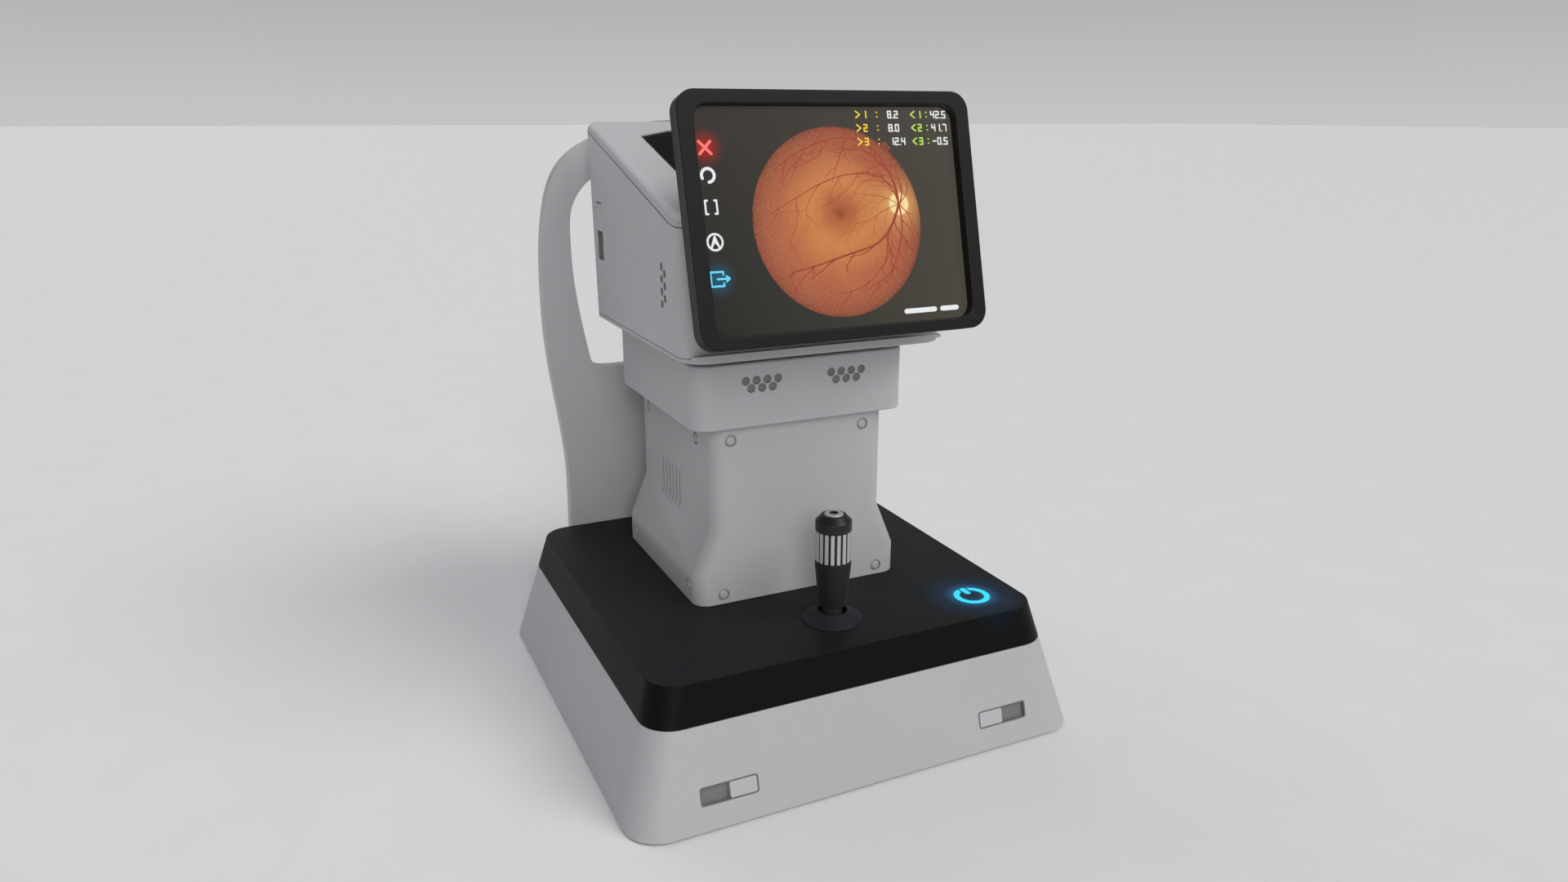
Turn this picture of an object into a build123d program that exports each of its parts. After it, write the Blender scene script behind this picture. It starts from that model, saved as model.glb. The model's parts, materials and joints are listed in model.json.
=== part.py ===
from build123d import *
import os
from math import atan, cos, degrees, sin, radians

os.makedirs("parts", exist_ok=True)

# Table-top eye refractor: base with joystick, lifting pillar, measuring head
# with a tilting display, and a headrest arch for the patient.
# Millimetres. +Z up, the operator sits at -Y and the patient at +Y.
# The origin is the bottom centre of the whole instrument. The chin cup
# overhangs the base at the back, so the base's own centre lies forward of it.
BASE_Y = -16.0
WALL = 3.0
GAP = 0.3

# Base
BASE_HALF_X = 180.0
BASE_HALF_Y = 181.0
SIDE_SLOPE = 0.2655
SHELL_BOTTOM = 1.5
SHELL_TOP = 70.0
DECK_BOTTOM = 70.3
DECK_TOP = 98.0
CORNER_BOTTOM = 27.0
CORNER_TOP = 22.0
FOOT_R = 14.0
PLATE_Z = 3.0
PLATE_THICK = 2.5
TABLE_HOLE_R = 2.5
TABLE_HOLE_PITCH = 220.0

POWER_SPOT = (116.0, -136.7)
LIGHT_DEEP = 1.2

# Pillar and the sleeve that lifts on it
PILLAR_X = 1.6
PILLAR_FOOT_HALF = 86.6
PILLAR_HALF = 71.6
PILLAR_FRONT = -69.0
PILLAR_CORNER = 12.0
PILLAR_BACK = 94.0
PILLAR_TOP = 262.0
FLARE_LOW = 121.0
FLARE_HIGH = 157.0
SLEEVE_HALF = 86.8
SLEEVE_FRONT = -76.5
SLEEVE_BACK = 99.0
SLEEVE_BOTTOM = 237.5
SLEEVE_TOP = 285.2
SLEEVE_ROOF = 4.0

# Measuring head
HEAD_HALF = 103.0
HEAD_FRONT = -101.0
HEAD_BACK_LOW = 106.5
HEAD_BACK_HIGH = 115.0
TRAY_BOTTOM = 293.6
TRAY_TOP = 297.1
HEAD_BOTTOM = 297.4
ROOF_BACK_Z = 450.5
ROOF_SLOPE = 0.298
SEAM_DROP = 7.4
RIM_ROUND = 6.5
EYE_Z = 366.0

# Display
TILT = 14.456
DISPLAY_Y = -149.3
DISPLAY_Z = 312.2
DISPLAY_HALF = 107.3
DISPLAY_HEIGHT = 163.1
DISPLAY_THICK = 13.8
WINDOW_HALF = 96.6
WINDOW_LOW = 8.3
WINDOW_HIGH = 153.8
GLASS_DEPTH = 7.2
HINGE_Y = -98.0
HINGE_Z = 412.0
PIN_R = 3.95
KNUCKLE_R = 6.5
BULGE = 3.5

# Headrest and chin rest
REST_FRONT = 139.7
REST_THICK = 12.0
REST_BACK = REST_FRONT + REST_THICK
CHIN_Y = 170.0
CHIN_Z = 246.0
CHIN_THICK = 17.0
POST_R = 8.0

# Joystick
STICK_Y = -124.6
STICK_PIVOT_Z = 92.0
GRIP_BOTTOM = 109.3
DIAL_BOTTOM = 145.2
DIAL_TOP = 168.2
CAP_TOP = 180.0
GRIP_R = 13.3


def finish(part, label):
    """Name a finished piece and write its STEP file."""
    part.label = label
    export_step(part, f"parts/{label}.step")


def base_half(z):
    """Half sizes in X and Y of the tapered base at height z."""
    return BASE_HALF_X - SIDE_SLOPE * z, BASE_HALF_Y - SIDE_SLOPE * z


def tapered_block(z_low, z_high, inset):
    """The base's tapered outline between two heights, drawn in by inset."""
    with BuildPart() as block:
        for z in (z_low, z_high):
            half_x, half_y = base_half(z)
            corner = CORNER_BOTTOM + (CORNER_TOP - CORNER_BOTTOM) * z / DECK_TOP
            with BuildSketch(Plane.XY.offset(z)):
                with Locations((0, BASE_Y)):
                    RectangleRounded(2 * (half_x - inset), 2 * (half_y - inset), corner - inset)
        loft(ruled=True)
    return block.part


def upright_outline(half, front, back, corner_front, corner_back):
    """A plan rectangle with its own corner radii at front and back."""
    with BuildSketch() as outline:
        with Locations((0, (front + back) / 2)):
            Rectangle(2 * half, back - front)
        ordered = outline.vertices().sort_by(Axis.Y)
        fillet(ordered[:2], corner_front)
        ordered = outline.vertices().group_by(Axis.Y)[-1]
        fillet(ordered, corner_back)
    return outline.sketch


def pillar_form(inset, z_low, z_high):
    """The pillar's outline: a straight foot, a flare and a straight waist."""
    with BuildPart() as form:
        levels = ((z_low, PILLAR_FOOT_HALF), (FLARE_LOW, PILLAR_FOOT_HALF),
                  (FLARE_HIGH, PILLAR_HALF), (z_high, PILLAR_HALF))
        for z, half in levels:
            with BuildSketch(Plane((PILLAR_X, 0, z))):
                add(upright_outline(half - inset, PILLAR_FRONT + inset, PILLAR_BACK - inset,
                                    PILLAR_CORNER - inset, 6 - inset))
        loft(ruled=True)
    return form.part


def roof_z(y):
    """Height of the head's sloped roof at depth y."""
    return ROOF_BACK_Z + (y - HEAD_BACK_HIGH) * ROOF_SLOPE


def roof_rim(form):
    """The edges between the head's roof faces and its upright faces."""
    roof = [face for face in form.faces() if face.normal_at(face.center()).Z > 0.8]
    walls = [face for face in form.faces() if abs(face.normal_at(face.center()).Z) < 0.3]
    wall_edges = [edge for face in walls for edge in face.edges()]
    return [edge for face in roof for edge in face.edges() if edge in wall_edges]


def head_form(inset, z_low):
    """The head's outer form, drawn in by inset; only the outer one has a rounded rim."""
    round_front = 12.0 - inset
    round_back = 9.0 - inset
    with BuildPart() as form:
        with BuildSketch(Plane.YZ.offset(-(HEAD_HALF - inset))):
            with BuildLine():
                Polyline((HEAD_FRONT + inset, z_low), (HEAD_BACK_LOW - inset, z_low),
                         (HEAD_BACK_HIGH - inset, ROOF_BACK_Z - inset * 1.3),
                         (-76.0, roof_z(-76.0) - inset), (-91.0, roof_z(-91.0) + 1.5 - inset),
                         (HEAD_FRONT + inset, roof_z(-91.0) + 1.5 - inset), close=True)
            make_face()
        extrude(amount=2 * (HEAD_HALF - inset))
        uprights = form.edges().filter_by(lambda e: abs(e.tangent_at(0.5).Z) > 0.9)
        fillet(uprights.group_by(Axis.Y)[0], round_front)
        uprights = form.edges().filter_by(lambda e: abs(e.tangent_at(0.5).Z) > 0.9)
        fillet(uprights.sort_by(Axis.Y)[-2:], round_back)
        if inset < 1:
            fillet(roof_rim(form), RIM_ROUND)
    return form.part


def above_seam(lift):
    """Everything above the seam between the head's shell and its top cover."""
    drop = SEAM_DROP - lift
    front_z = roof_z(-79.0) - drop - 1.4
    with BuildPart() as region:
        with BuildSketch(Plane.YZ.offset(-130)):
            with BuildLine():
                Polyline((-130, front_z), (-92, front_z), (-79, roof_z(-79.0) - drop),
                         (130, roof_z(130.0) - drop), (130, 500), (-130, 500), close=True)
            make_face()
        extrude(amount=260)
    return region.part


def well_outline(grow):
    """Plan of the well in the head's roof, with three facets at its back."""
    with BuildSketch() as outline:
        with BuildLine():
            Polyline((-70 - grow, -62 - grow), (70 + grow, -62 - grow), (70 + grow, 74 + grow),
                     (42 + grow / 2, 87 + grow), (-42 - grow / 2, 87 + grow),
                     (-70 - grow, 74 + grow), close=True)
        make_face()
    return outline.sketch


def power_outline(grow):
    """The light guide of the touch key: an open ring with a bar in its gap."""
    with BuildSketch() as outline:
        with Locations(POWER_SPOT):
            Circle(13.8 + grow)
            Circle(9.5 - grow, mode=Mode.SUBTRACT)
            with Locations((0, 11)):
                Rectangle(8.6 - 2 * grow, 12, mode=Mode.SUBTRACT)
            with Locations((0, 8.9)):
                SlotOverall(11.2 + 2 * grow, 4.4 + 2 * grow, rotation=90)
    return outline.sketch


def honeycomb(plane, centre, depth):
    """Seven blind holes, four over three, cut into a plane."""
    with BuildPart() as holes:
        with BuildSketch(plane):
            spots = [(centre[0] + 8.5 * (i - 1.5), centre[1] + 2.9) for i in range(4)]
            spots += [(centre[0] + 8.5 * (i - 1.0), centre[1] - 2.9) for i in range(3)]
            with Locations(*spots):
                Circle(3.25)
        extrude(amount=-depth)
    return holes.part


# Planes that lie on the base's sloped walls, and the display's front face
SLOPE_ANGLE = atan(SIDE_SLOPE)
SWITCH_Z = 24.2
PORT_Z = 34.0
PORT_Y = 60.0
FRONT_WALL = Plane(origin=(0, BASE_Y - base_half(SWITCH_Z)[1], SWITCH_Z), x_dir=(1, 0, 0),
                   z_dir=(0, -cos(SLOPE_ANGLE), sin(SLOPE_ANGLE)))
RIGHT_WALL = Plane(origin=(base_half(PORT_Z)[0], PORT_Y, PORT_Z), x_dir=(0, 1, 0),
                   z_dir=(cos(SLOPE_ANGLE), 0, sin(SLOPE_ANGLE)))
HEAD_LEFT = Plane(origin=(-HEAD_HALF, 84.15, 364.85), x_dir=(0, -1, 0), z_dir=(-1, 0, 0))
DISPLAY = Plane(origin=(0, DISPLAY_Y, DISPLAY_Z), x_dir=(1, 0, 0),
                z_dir=(0, -cos(radians(TILT)), sin(radians(TILT))))
SWITCH_X = 110.5
SWITCH_LONG = 42.0
SWITCH_WIDE = 13.0
SIDE_SWITCH_LONG = 45.1
SIDE_SWITCH_WIDE = 15.0

# ---------------------------------------------------------------- base
SLOT_HALF = 127.6
CORNER_SPOTS = [(x, BASE_Y + y) for x in (-150, 150) for y in (-150, 150)]
TABLE_SPOTS = [(x, BASE_Y + y) for x in (-TABLE_HOLE_PITCH / 2, TABLE_HOLE_PITCH / 2)
               for y in (-TABLE_HOLE_PITCH / 2, TABLE_HOLE_PITCH / 2)]
PLATE_TOP = PLATE_Z + PLATE_THICK

with BuildPart() as base_housing:
    add(tapered_block(SHELL_BOTTOM, SHELL_TOP, 0))
    add(tapered_block(SHELL_BOTTOM, SHELL_TOP, WALL), mode=Mode.SUBTRACT)
    with BuildSketch(Plane.XY.offset(PLATE_TOP)):
        with Locations(*CORNER_SPOTS):
            Circle(7)
    extrude(amount=SHELL_TOP - PLATE_TOP)
    with BuildSketch(Plane.XY.offset(PLATE_TOP)):
        with Locations(*CORNER_SPOTS):
            Circle(2.5)
    extrude(amount=20, mode=Mode.SUBTRACT)
    with BuildSketch(Plane.XZ.offset(-(REST_FRONT - GAP))):
        with Locations((0, 65)):
            Rectangle(2 * SLOT_HALF, 70)
    extrude(amount=-30, mode=Mode.SUBTRACT)
    with BuildSketch(FRONT_WALL):
        with Locations((-SWITCH_X, 0), (SWITCH_X, 0)):
            RectangleRounded(SWITCH_LONG + 0.2, SWITCH_WIDE + 0.2, 2.1)
    extrude(amount=-12, mode=Mode.SUBTRACT)
    with BuildSketch(RIGHT_WALL):
        RectangleRounded(86, 32, 4)
    extrude(amount=-12, mode=Mode.SUBTRACT)
finish(base_housing.part, "base_housing")

REST_SCREWS = [(x, 62) for x in (-95, -45, 45, 95)]
with BuildPart() as base_plate:
    with BuildSketch(Plane.XZ.offset(-(REST_FRONT - 3.2))):
        with Locations((0, 38)):
            Rectangle(220, 70)
        with Locations(*REST_SCREWS):
            Circle(2.45, mode=Mode.SUBTRACT)
    extrude(amount=-3)
    with BuildSketch(Plane.XY.offset(PLATE_Z)):
        with Locations((0, BASE_Y)):
            RectangleRounded(350, 352, 23)
        with Locations(*TABLE_SPOTS):
            Circle(TABLE_HOLE_R, mode=Mode.SUBTRACT)
        with Locations(*CORNER_SPOTS):
            Circle(2.8, mode=Mode.SUBTRACT)
    extrude(amount=PLATE_THICK)
finish(base_plate.part, "base_plate")

FOOT_SPOTS = [(x, BASE_Y + y) for x in (-128, 128) for y in (-150, 150)]
with BuildPart() as rubber_feet:
    with BuildSketch():
        with Locations(*FOOT_SPOTS):
            Circle(FOOT_R)
    extrude(amount=PLATE_Z)
    chamfer(rubber_feet.edges().group_by(Axis.Z)[0], 0.8)
finish(rubber_feet.part, "rubber_feet")

with BuildPart() as machine_screws:
    with BuildSketch(Plane.XY.offset(PLATE_Z - 1.4)):
        with Locations(*CORNER_SPOTS):
            Circle(4.5)
    extrude(amount=1.4)
    with BuildSketch(Plane.XY.offset(PLATE_Z)):
        with Locations(*CORNER_SPOTS):
            Circle(2.4)
    extrude(amount=18)
    with BuildSketch(Plane.XZ.offset(-REST_BACK)):
        with Locations(*REST_SCREWS):
            Circle(4.5)
    extrude(amount=-2.8)
    with BuildSketch(Plane.XZ.offset(-REST_BACK)):
        with Locations(*REST_SCREWS):
            Circle(2.4)
    extrude(amount=18)
finish(machine_screws.part, "machine_screws")

with BuildPart() as top_deck:
    add(tapered_block(DECK_BOTTOM, DECK_TOP, 0))
    add(tapered_block(DECK_BOTTOM, DECK_TOP - WALL, WALL), mode=Mode.SUBTRACT)
    with BuildSketch(Plane.XZ.offset(-(REST_FRONT - GAP))):
        with Locations((0, 85)):
            Rectangle(2 * SLOT_HALF, 60)
    extrude(amount=-20, mode=Mode.SUBTRACT)
    with BuildSketch(Plane.XY.offset(DECK_TOP - 10)):
        with Locations((0, STICK_Y)):
            Circle(20.4)
        with Locations((0, 15)):
            Rectangle(128, 130)
    extrude(amount=20, mode=Mode.SUBTRACT)
    with BuildSketch(Plane.XY.offset(DECK_TOP - LIGHT_DEEP)):
        add(power_outline(0.05))
    extrude(amount=2, mode=Mode.SUBTRACT)
finish(top_deck.part, "top_deck")

with BuildPart() as power_light:
    with BuildSketch(Plane.XY.offset(DECK_TOP - LIGHT_DEEP)):
        add(power_outline(0))
    extrude(amount=LIGHT_DEEP)
finish(power_light.part, "power_light")

with BuildPart() as connector_panel:
    with BuildSketch(RIGHT_WALL.offset(-6.2)):
        RectangleRounded(100, 44, 3)
        with Locations((-22, 0)):
            Rectangle(28.2, 21.2, mode=Mode.SUBTRACT)
        with Locations((14, 0), (32, 0)):
            Rectangle(13, 11, mode=Mode.SUBTRACT)
    extrude(amount=2.8)
    with BuildSketch(RIGHT_WALL.offset(-20)):
        with Locations((14, 0), (32, 0)):
            Rectangle(16, 14)
            Rectangle(13, 11, mode=Mode.SUBTRACT)
    extrude(amount=14.5)
    with BuildSketch(RIGHT_WALL.offset(-20)):
        with Locations((14, 0), (32, 0)):
            Rectangle(16, 14)
    extrude(amount=1.5)
finish(connector_panel.part, "connector_panel")

with BuildPart() as power_inlet:
    with BuildSketch(RIGHT_WALL.offset(-24)):
        with Locations((-22, 0)):
            Rectangle(28, 21)
    extrude(amount=21.5)
    with BuildSketch(RIGHT_WALL.offset(-2.5)):
        with Locations((-22, 0)):
            RectangleRounded(24, 16.5, 3)
    extrude(amount=-14, mode=Mode.SUBTRACT)
    with BuildSketch(RIGHT_WALL.offset(-16.5)):
        with Locations((-29, 0), (-15, 0)):
            Rectangle(2, 5)
        with Locations((-22, -2)):
            Rectangle(2, 5)
    extrude(amount=7.5)
finish(power_inlet.part, "power_inlet")

with BuildPart() as power_supply:
    with BuildSketch(Plane.XY.offset(PLATE_TOP)):
        with Locations((100, 20)):
            Rectangle(85, 130)
    extrude(amount=42)
    chamfer(power_supply.edges().filter_by(Axis.Z), 2)
finish(power_supply.part, "power_supply")

with BuildPart() as main_board:
    with BuildSketch(Plane.XY.offset(14)):
        with Locations((-108, -10)):
            Rectangle(100, 170)
    extrude(amount=1.6)
    with BuildSketch(Plane.XY.offset(15.6)):
        with Locations((-115, 20)):
            Rectangle(32, 32)
        with Locations((-80, 50), (-80, -60), (-130, -60)):
            Rectangle(22, 16)
    extrude(amount=5)
    with BuildSketch(Plane.XY.offset(PLATE_TOP)):
        with Locations((-108, -10)):
            with GridLocations(90, 160, 2, 2):
                Circle(3)
    extrude(amount=8.5)
finish(main_board.part, "main_board")

with BuildPart() as front_switch_tracks:
    with BuildSketch(FRONT_WALL.offset(-4.4)):
        with Locations((-SWITCH_X, 0), (SWITCH_X, 0)):
            RectangleRounded(SWITCH_LONG, SWITCH_WIDE, 2)
    extrude(amount=4.1)
    with BuildSketch(FRONT_WALL.offset(-0.3)):
        with Locations((-SWITCH_X, 0), (SWITCH_X, 0)):
            RectangleRounded(SWITCH_LONG - 1.6, SWITCH_WIDE - 1.6, 1.5)
    extrude(amount=-2.5, mode=Mode.SUBTRACT)
finish(front_switch_tracks.part, "front_switch_tracks")

for side, name in ((-1, "front_switch_left"), (1, "front_switch_right")):
    with BuildPart() as front_switch:
        with BuildSketch(FRONT_WALL.offset(-2.7)):
            with Locations((side * (SWITCH_X - 10.1), 0)):
                RectangleRounded(19.8, SWITCH_WIDE - 2.0, 1.3)
        extrude(amount=2.9)
        outer_face = front_switch.faces().sort_by(Axis((0, 0, 0), FRONT_WALL.z_dir))[-1]
        fillet(outer_face.edges(), 0.5)
    finish(front_switch.part, name)

# ---------------------------------------------------------------- pillar
FRONT_CAPS = ((-56.4, 226.6), (53.2, 226.6), (-63.4, 105.4), (68.8, 105.6))
SIDE_CAPS = ((-33.0, 220.6, PILLAR_HALF), (77.0, 219.0, PILLAR_HALF),
             (-49.6, 109.7, PILLAR_FOOT_HALF), (79.5, 108.2, PILLAR_FOOT_HALF))
VENT_DEEP = 1.2

with BuildPart() as pillar_shell:
    add(pillar_form(0, DECK_TOP + 0.2, PILLAR_TOP))
    add(pillar_form(WALL, DECK_TOP + 0.2, PILLAR_TOP), mode=Mode.SUBTRACT)
    with BuildSketch(Plane.XZ.offset(-PILLAR_FRONT)):
        with Locations(*FRONT_CAPS):
            Circle(4.7)
    extrude(amount=-1.6, mode=Mode.SUBTRACT)
    for side in (-1, 1):
        for y, z, half in SIDE_CAPS:
            with BuildSketch(Plane.YZ.offset(PILLAR_X + side * half)):
                with Locations((y, z)):
                    Circle(4.7)
            extrude(amount=-side * 1.6, mode=Mode.SUBTRACT)
        with BuildSketch(Plane.YZ.offset(PILLAR_X + side * (PILLAR_HALF - VENT_DEEP))):
            with Locations((24.7, 167.6)):
                with GridLocations(7.7, 1, 6, 1):
                    SlotOverall(32, 3.2, rotation=90)
        extrude(amount=side * 6, mode=Mode.SUBTRACT)
finish(pillar_shell.part, "pillar_shell")

with BuildPart() as screw_caps:
    with BuildSketch(Plane.XZ.offset(-PILLAR_FRONT)):
        with Locations(*FRONT_CAPS):
            Circle(4.45)
    extrude(amount=-1.6)
    for side in (-1, 1):
        for y, z, half in SIDE_CAPS:
            with BuildSketch(Plane.YZ.offset(PILLAR_X + side * half)):
                with Locations((y, z)):
                    Circle(4.45)
            extrude(amount=-side * 1.6)
finish(screw_caps.part, "screw_caps")

RAIL_Y = 62.0
with BuildPart() as pillar_frame:
    with BuildSketch(Plane.XY.offset(PLATE_TOP)):
        with Locations((0, RAIL_Y + 10)):
            Rectangle(110, 4)
    extrude(amount=250 - PLATE_TOP)
    with BuildSketch(Plane.XY.offset(PLATE_TOP)):
        with Locations((0, RAIL_Y - 12)):
            Rectangle(110, 40)
    extrude(amount=5)
    with BuildSketch(Plane.XY.offset(94)):
        with Locations((0, RAIL_Y - 16)):
            Rectangle(80, 48)
    extrude(amount=4)
finish(pillar_frame.part, "pillar_frame")

with BuildPart() as lift_rails:
    with BuildSketch(Plane.XY.offset(105)):
        with Locations((-38, RAIL_Y + 4), (38, RAIL_Y + 4)):
            Rectangle(12, 8)
    extrude(amount=145)
finish(lift_rails.part, "lift_rails")

SCREW_Y = 32.0
with BuildPart() as lift_motor:
    with BuildSketch(Plane.XY.offset(98)):
        with Locations((0, SCREW_Y)):
            RectangleRounded(42, 42, 4)
    extrude(amount=38)
finish(lift_motor.part, "lift_motor")

with BuildPart() as lift_screw:
    with BuildSketch(Plane.XY.offset(136.2)):
        with Locations((0, SCREW_Y)):
            Circle(5)
    extrude(amount=118)
finish(lift_screw.part, "lift_screw")

# ---------------------------------------------------------------- lifting sleeve
X_SCREW_Z = 272.0
X_SCREW_Y = -6.0
with BuildPart() as lift_sleeve:
    with BuildSketch(Plane.XY.offset(SLEEVE_BOTTOM)):
        add(upright_outline(SLEEVE_HALF, SLEEVE_FRONT, SLEEVE_BACK, 14.5, 12))
    extrude(amount=SLEEVE_TOP - SLEEVE_BOTTOM)
    fillet(lift_sleeve.edges().group_by(Axis.Z)[-1], 1.6)
    fillet(lift_sleeve.edges().group_by(Axis.Z)[0], 0.8)
    with BuildSketch(Plane.XY.offset(SLEEVE_BOTTOM)):
        add(upright_outline(SLEEVE_HALF - WALL, SLEEVE_FRONT + WALL, SLEEVE_BACK - WALL, 11.5, 9))
    extrude(amount=SLEEVE_TOP - SLEEVE_BOTTOM - SLEEVE_ROOF, mode=Mode.SUBTRACT)
    add(honeycomb(Plane.XZ.offset(-SLEEVE_FRONT), (-34.4, 269.1), 1.6), mode=Mode.SUBTRACT)
    add(honeycomb(Plane.XZ.offset(-SLEEVE_FRONT), (34.4, 269.1), 1.6), mode=Mode.SUBTRACT)
    with BuildSketch(Plane.XY.offset(SLEEVE_TOP)):
        with Locations((-14, X_SCREW_Y)):
            Rectangle(102, 9)
    extrude(amount=-SLEEVE_ROOF, mode=Mode.SUBTRACT)
finish(lift_sleeve.part, "lift_sleeve")

with BuildPart() as lift_carriage:
    with BuildSketch(Plane.XY.offset(150)):
        with Locations((0, RAIL_Y - 5)):
            Rectangle(104, 5)
    extrude(amount=SLEEVE_TOP - SLEEVE_ROOF - 150)
    for z in (155, 215):
        with BuildSketch(Plane.XY.offset(z)):
            with Locations((-38, RAIL_Y + 2), (38, RAIL_Y + 2)):
                Rectangle(26, 10)
            with Locations((-38, RAIL_Y + 5), (38, RAIL_Y + 5)):
                Rectangle(12.2, 10.1, mode=Mode.SUBTRACT)
        extrude(amount=30)
    with BuildSketch(Plane.XY.offset(276)):
        with Locations((0, RAIL_Y - 22)):
            Rectangle(104, 30)
    extrude(amount=SLEEVE_TOP - SLEEVE_ROOF - 276)
    with BuildSketch(Plane.XY.offset(190)):
        with Locations((0, SCREW_Y + 6)):
            Rectangle(28, 34)
    extrude(amount=18)
    with BuildSketch(Plane.XY.offset(150)):
        with Locations((0, SCREW_Y)):
            Circle(5.05)
    extrude(amount=80, mode=Mode.SUBTRACT)
finish(lift_carriage.part, "lift_carriage")

X_RAIL_SPOTS = [(0, -35), (0, 55)]
with BuildPart() as x_rails:
    with BuildSketch(Plane.XY.offset(SLEEVE_TOP)):
        with Locations(*X_RAIL_SPOTS):
            Rectangle(150, 7)
    extrude(amount=4)
finish(x_rails.part, "x_rails")

with BuildPart() as x_motor:
    with BuildSketch(Plane.YZ.offset(38.5)):
        with Locations((X_SCREW_Y, X_SCREW_Z - 2.9)):
            RectangleRounded(24, 24, 2)
    extrude(amount=24)
finish(x_motor.part, "x_motor")

with BuildPart() as x_screw:
    with BuildSketch(Plane.YZ.offset(-64)):
        with Locations((X_SCREW_Y, X_SCREW_Z)):
            Circle(3)
    extrude(amount=102.3)
finish(x_screw.part, "x_screw")

# ---------------------------------------------------------------- cross stage
Y_SCREW_Z = 315.0
BLOCK_SPOTS = [(x, y) for x in (-45, 45) for y in (-19, 41)]
with BuildPart() as cross_carriage:
    with BuildSketch(Plane.XY.offset(287)):
        with Locations((0, 11)):
            RectangleRounded(156, 152, 10)
    extrude(amount=5.6)
    with BuildSketch(Plane.XY.offset(287)):
        with Locations(*X_RAIL_SPOTS):
            Rectangle(160, 7.2)
    extrude(amount=2.35, mode=Mode.SUBTRACT)
    with BuildSketch(Plane.XY.offset(292.6)):
        with Locations(*BLOCK_SPOTS):
            Rectangle(18, 24)
    extrude(amount=9.4)
    with BuildSketch(Plane.XY.offset(297.8)):
        with Locations((-45, 11), (45, 11)):
            Rectangle(9.2, 100)
    extrude(amount=10, mode=Mode.SUBTRACT)
    with BuildSketch(Plane.XY.offset(X_SCREW_Z - 6)):
        with Locations((-14, X_SCREW_Y)):
            Rectangle(16, 7)
    extrude(amount=287 - X_SCREW_Z + 6)
    with BuildSketch(Plane.YZ.offset(-30)):
        with Locations((X_SCREW_Y, X_SCREW_Z)):
            Circle(3.05)
    extrude(amount=30, mode=Mode.SUBTRACT)
    with BuildSketch(Plane.XY.offset(292.6)):
        with Locations((0, 11)):
            Rectangle(14, 14)
    extrude(amount=Y_SCREW_Z + 7 - 292.6)
    with BuildSketch(Plane.XZ.offset(-30)):
        with Locations((0, Y_SCREW_Z)):
            Circle(3.05)
    extrude(amount=40, mode=Mode.SUBTRACT)
finish(cross_carriage.part, "cross_carriage")

# ---------------------------------------------------------------- head
with BuildPart() as head_tray:
    with BuildSketch(Plane.XY.offset(TRAY_BOTTOM)):
        add(upright_outline(HEAD_HALF, HEAD_FRONT - 4.5, HEAD_BACK_LOW, 20, 9))
    extrude(amount=TRAY_TOP - TRAY_BOTTOM)
    with BuildSketch(Plane.XY.offset(TRAY_TOP)):
        add(upright_outline(HEAD_HALF - 5, HEAD_FRONT - 4.5, HEAD_FRONT - 0.4, 1.9, 1.9))
    extrude(amount=2.4)
    fillet(head_tray.edges().group_by(Axis.Z)[0], 1.5)
    with BuildSketch(Plane.XY.offset(TRAY_BOTTOM)):
        with Locations((0, 11)):
            Rectangle(114, 130)
    extrude(amount=10, mode=Mode.SUBTRACT)
finish(head_tray.part, "head_tray")

with BuildPart() as head_shell:
    add(head_form(0, HEAD_BOTTOM))
    add(head_form(WALL, HEAD_BOTTOM), mode=Mode.SUBTRACT)
    add(above_seam(-0.25), mode=Mode.SUBTRACT)
    with BuildSketch(Plane.XZ.offset(-130)):
        with Locations((0, EYE_Z)):
            Circle(30.4)
    extrude(amount=60, mode=Mode.SUBTRACT)
    with BuildSketch(HEAD_LEFT):
        RectangleRounded(SIDE_SWITCH_WIDE + 0.2, SIDE_SWITCH_LONG + 0.2, 1.6)
    extrude(amount=-6, mode=Mode.SUBTRACT)
    for side in (-1, 1):
        with BuildSketch(Plane.YZ.offset(side * HEAD_HALF)):
            with Locations((-61.9, 341.9)):
                with GridLocations(1, 8.55, 1, 4):
                    Circle(2.7)
            with Locations((-67.9, 341.9)):
                with GridLocations(1, 8.55, 1, 3):
                    Circle(2.7)
        extrude(amount=-side * 1.6, mode=Mode.SUBTRACT)
finish(head_shell.part, "head_shell")

with BuildPart() as head_top_cover:
    add(head_form(0, HEAD_BOTTOM))
    add(head_form(WALL, HEAD_BOTTOM), mode=Mode.SUBTRACT)
    add(above_seam(0.25), mode=Mode.INTERSECT)
    with BuildSketch(Plane.XY.offset(300)):
        add(well_outline(0.2))
    extrude(amount=200, mode=Mode.SUBTRACT)
finish(head_top_cover.part, "head_top_cover")

WELL_DEPTH = 28.0
with BuildPart() as roof_well:
    with BuildSketch(Plane.XY.offset(340)):
        add(well_outline(0))
    extrude(amount=140)
    with BuildSketch(Plane.YZ.offset(-100)):
        with BuildLine():
            Polyline((-120, roof_z(-120.0) - WELL_DEPTH - 2), (120, roof_z(120.0) - WELL_DEPTH - 2),
                     (120, roof_z(120.0) - 0.8), (-120, roof_z(-120.0) - 0.8), close=True)
        make_face()
    extrude(amount=200, mode=Mode.INTERSECT)
    with BuildPart(mode=Mode.PRIVATE) as hollow:
        with BuildSketch(Plane.XY.offset(340)):
            add(well_outline(-2))
        extrude(amount=140)
        with BuildSketch(Plane.YZ.offset(-100)):
            with BuildLine():
                Polyline((-120, roof_z(-120.0) - WELL_DEPTH), (120, roof_z(120.0) - WELL_DEPTH),
                         (120, 520), (-120, 520), close=True)
            make_face()
        extrude(amount=200, mode=Mode.INTERSECT)
    add(hollow.part, mode=Mode.SUBTRACT)
finish(roof_well.part, "roof_well")

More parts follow.
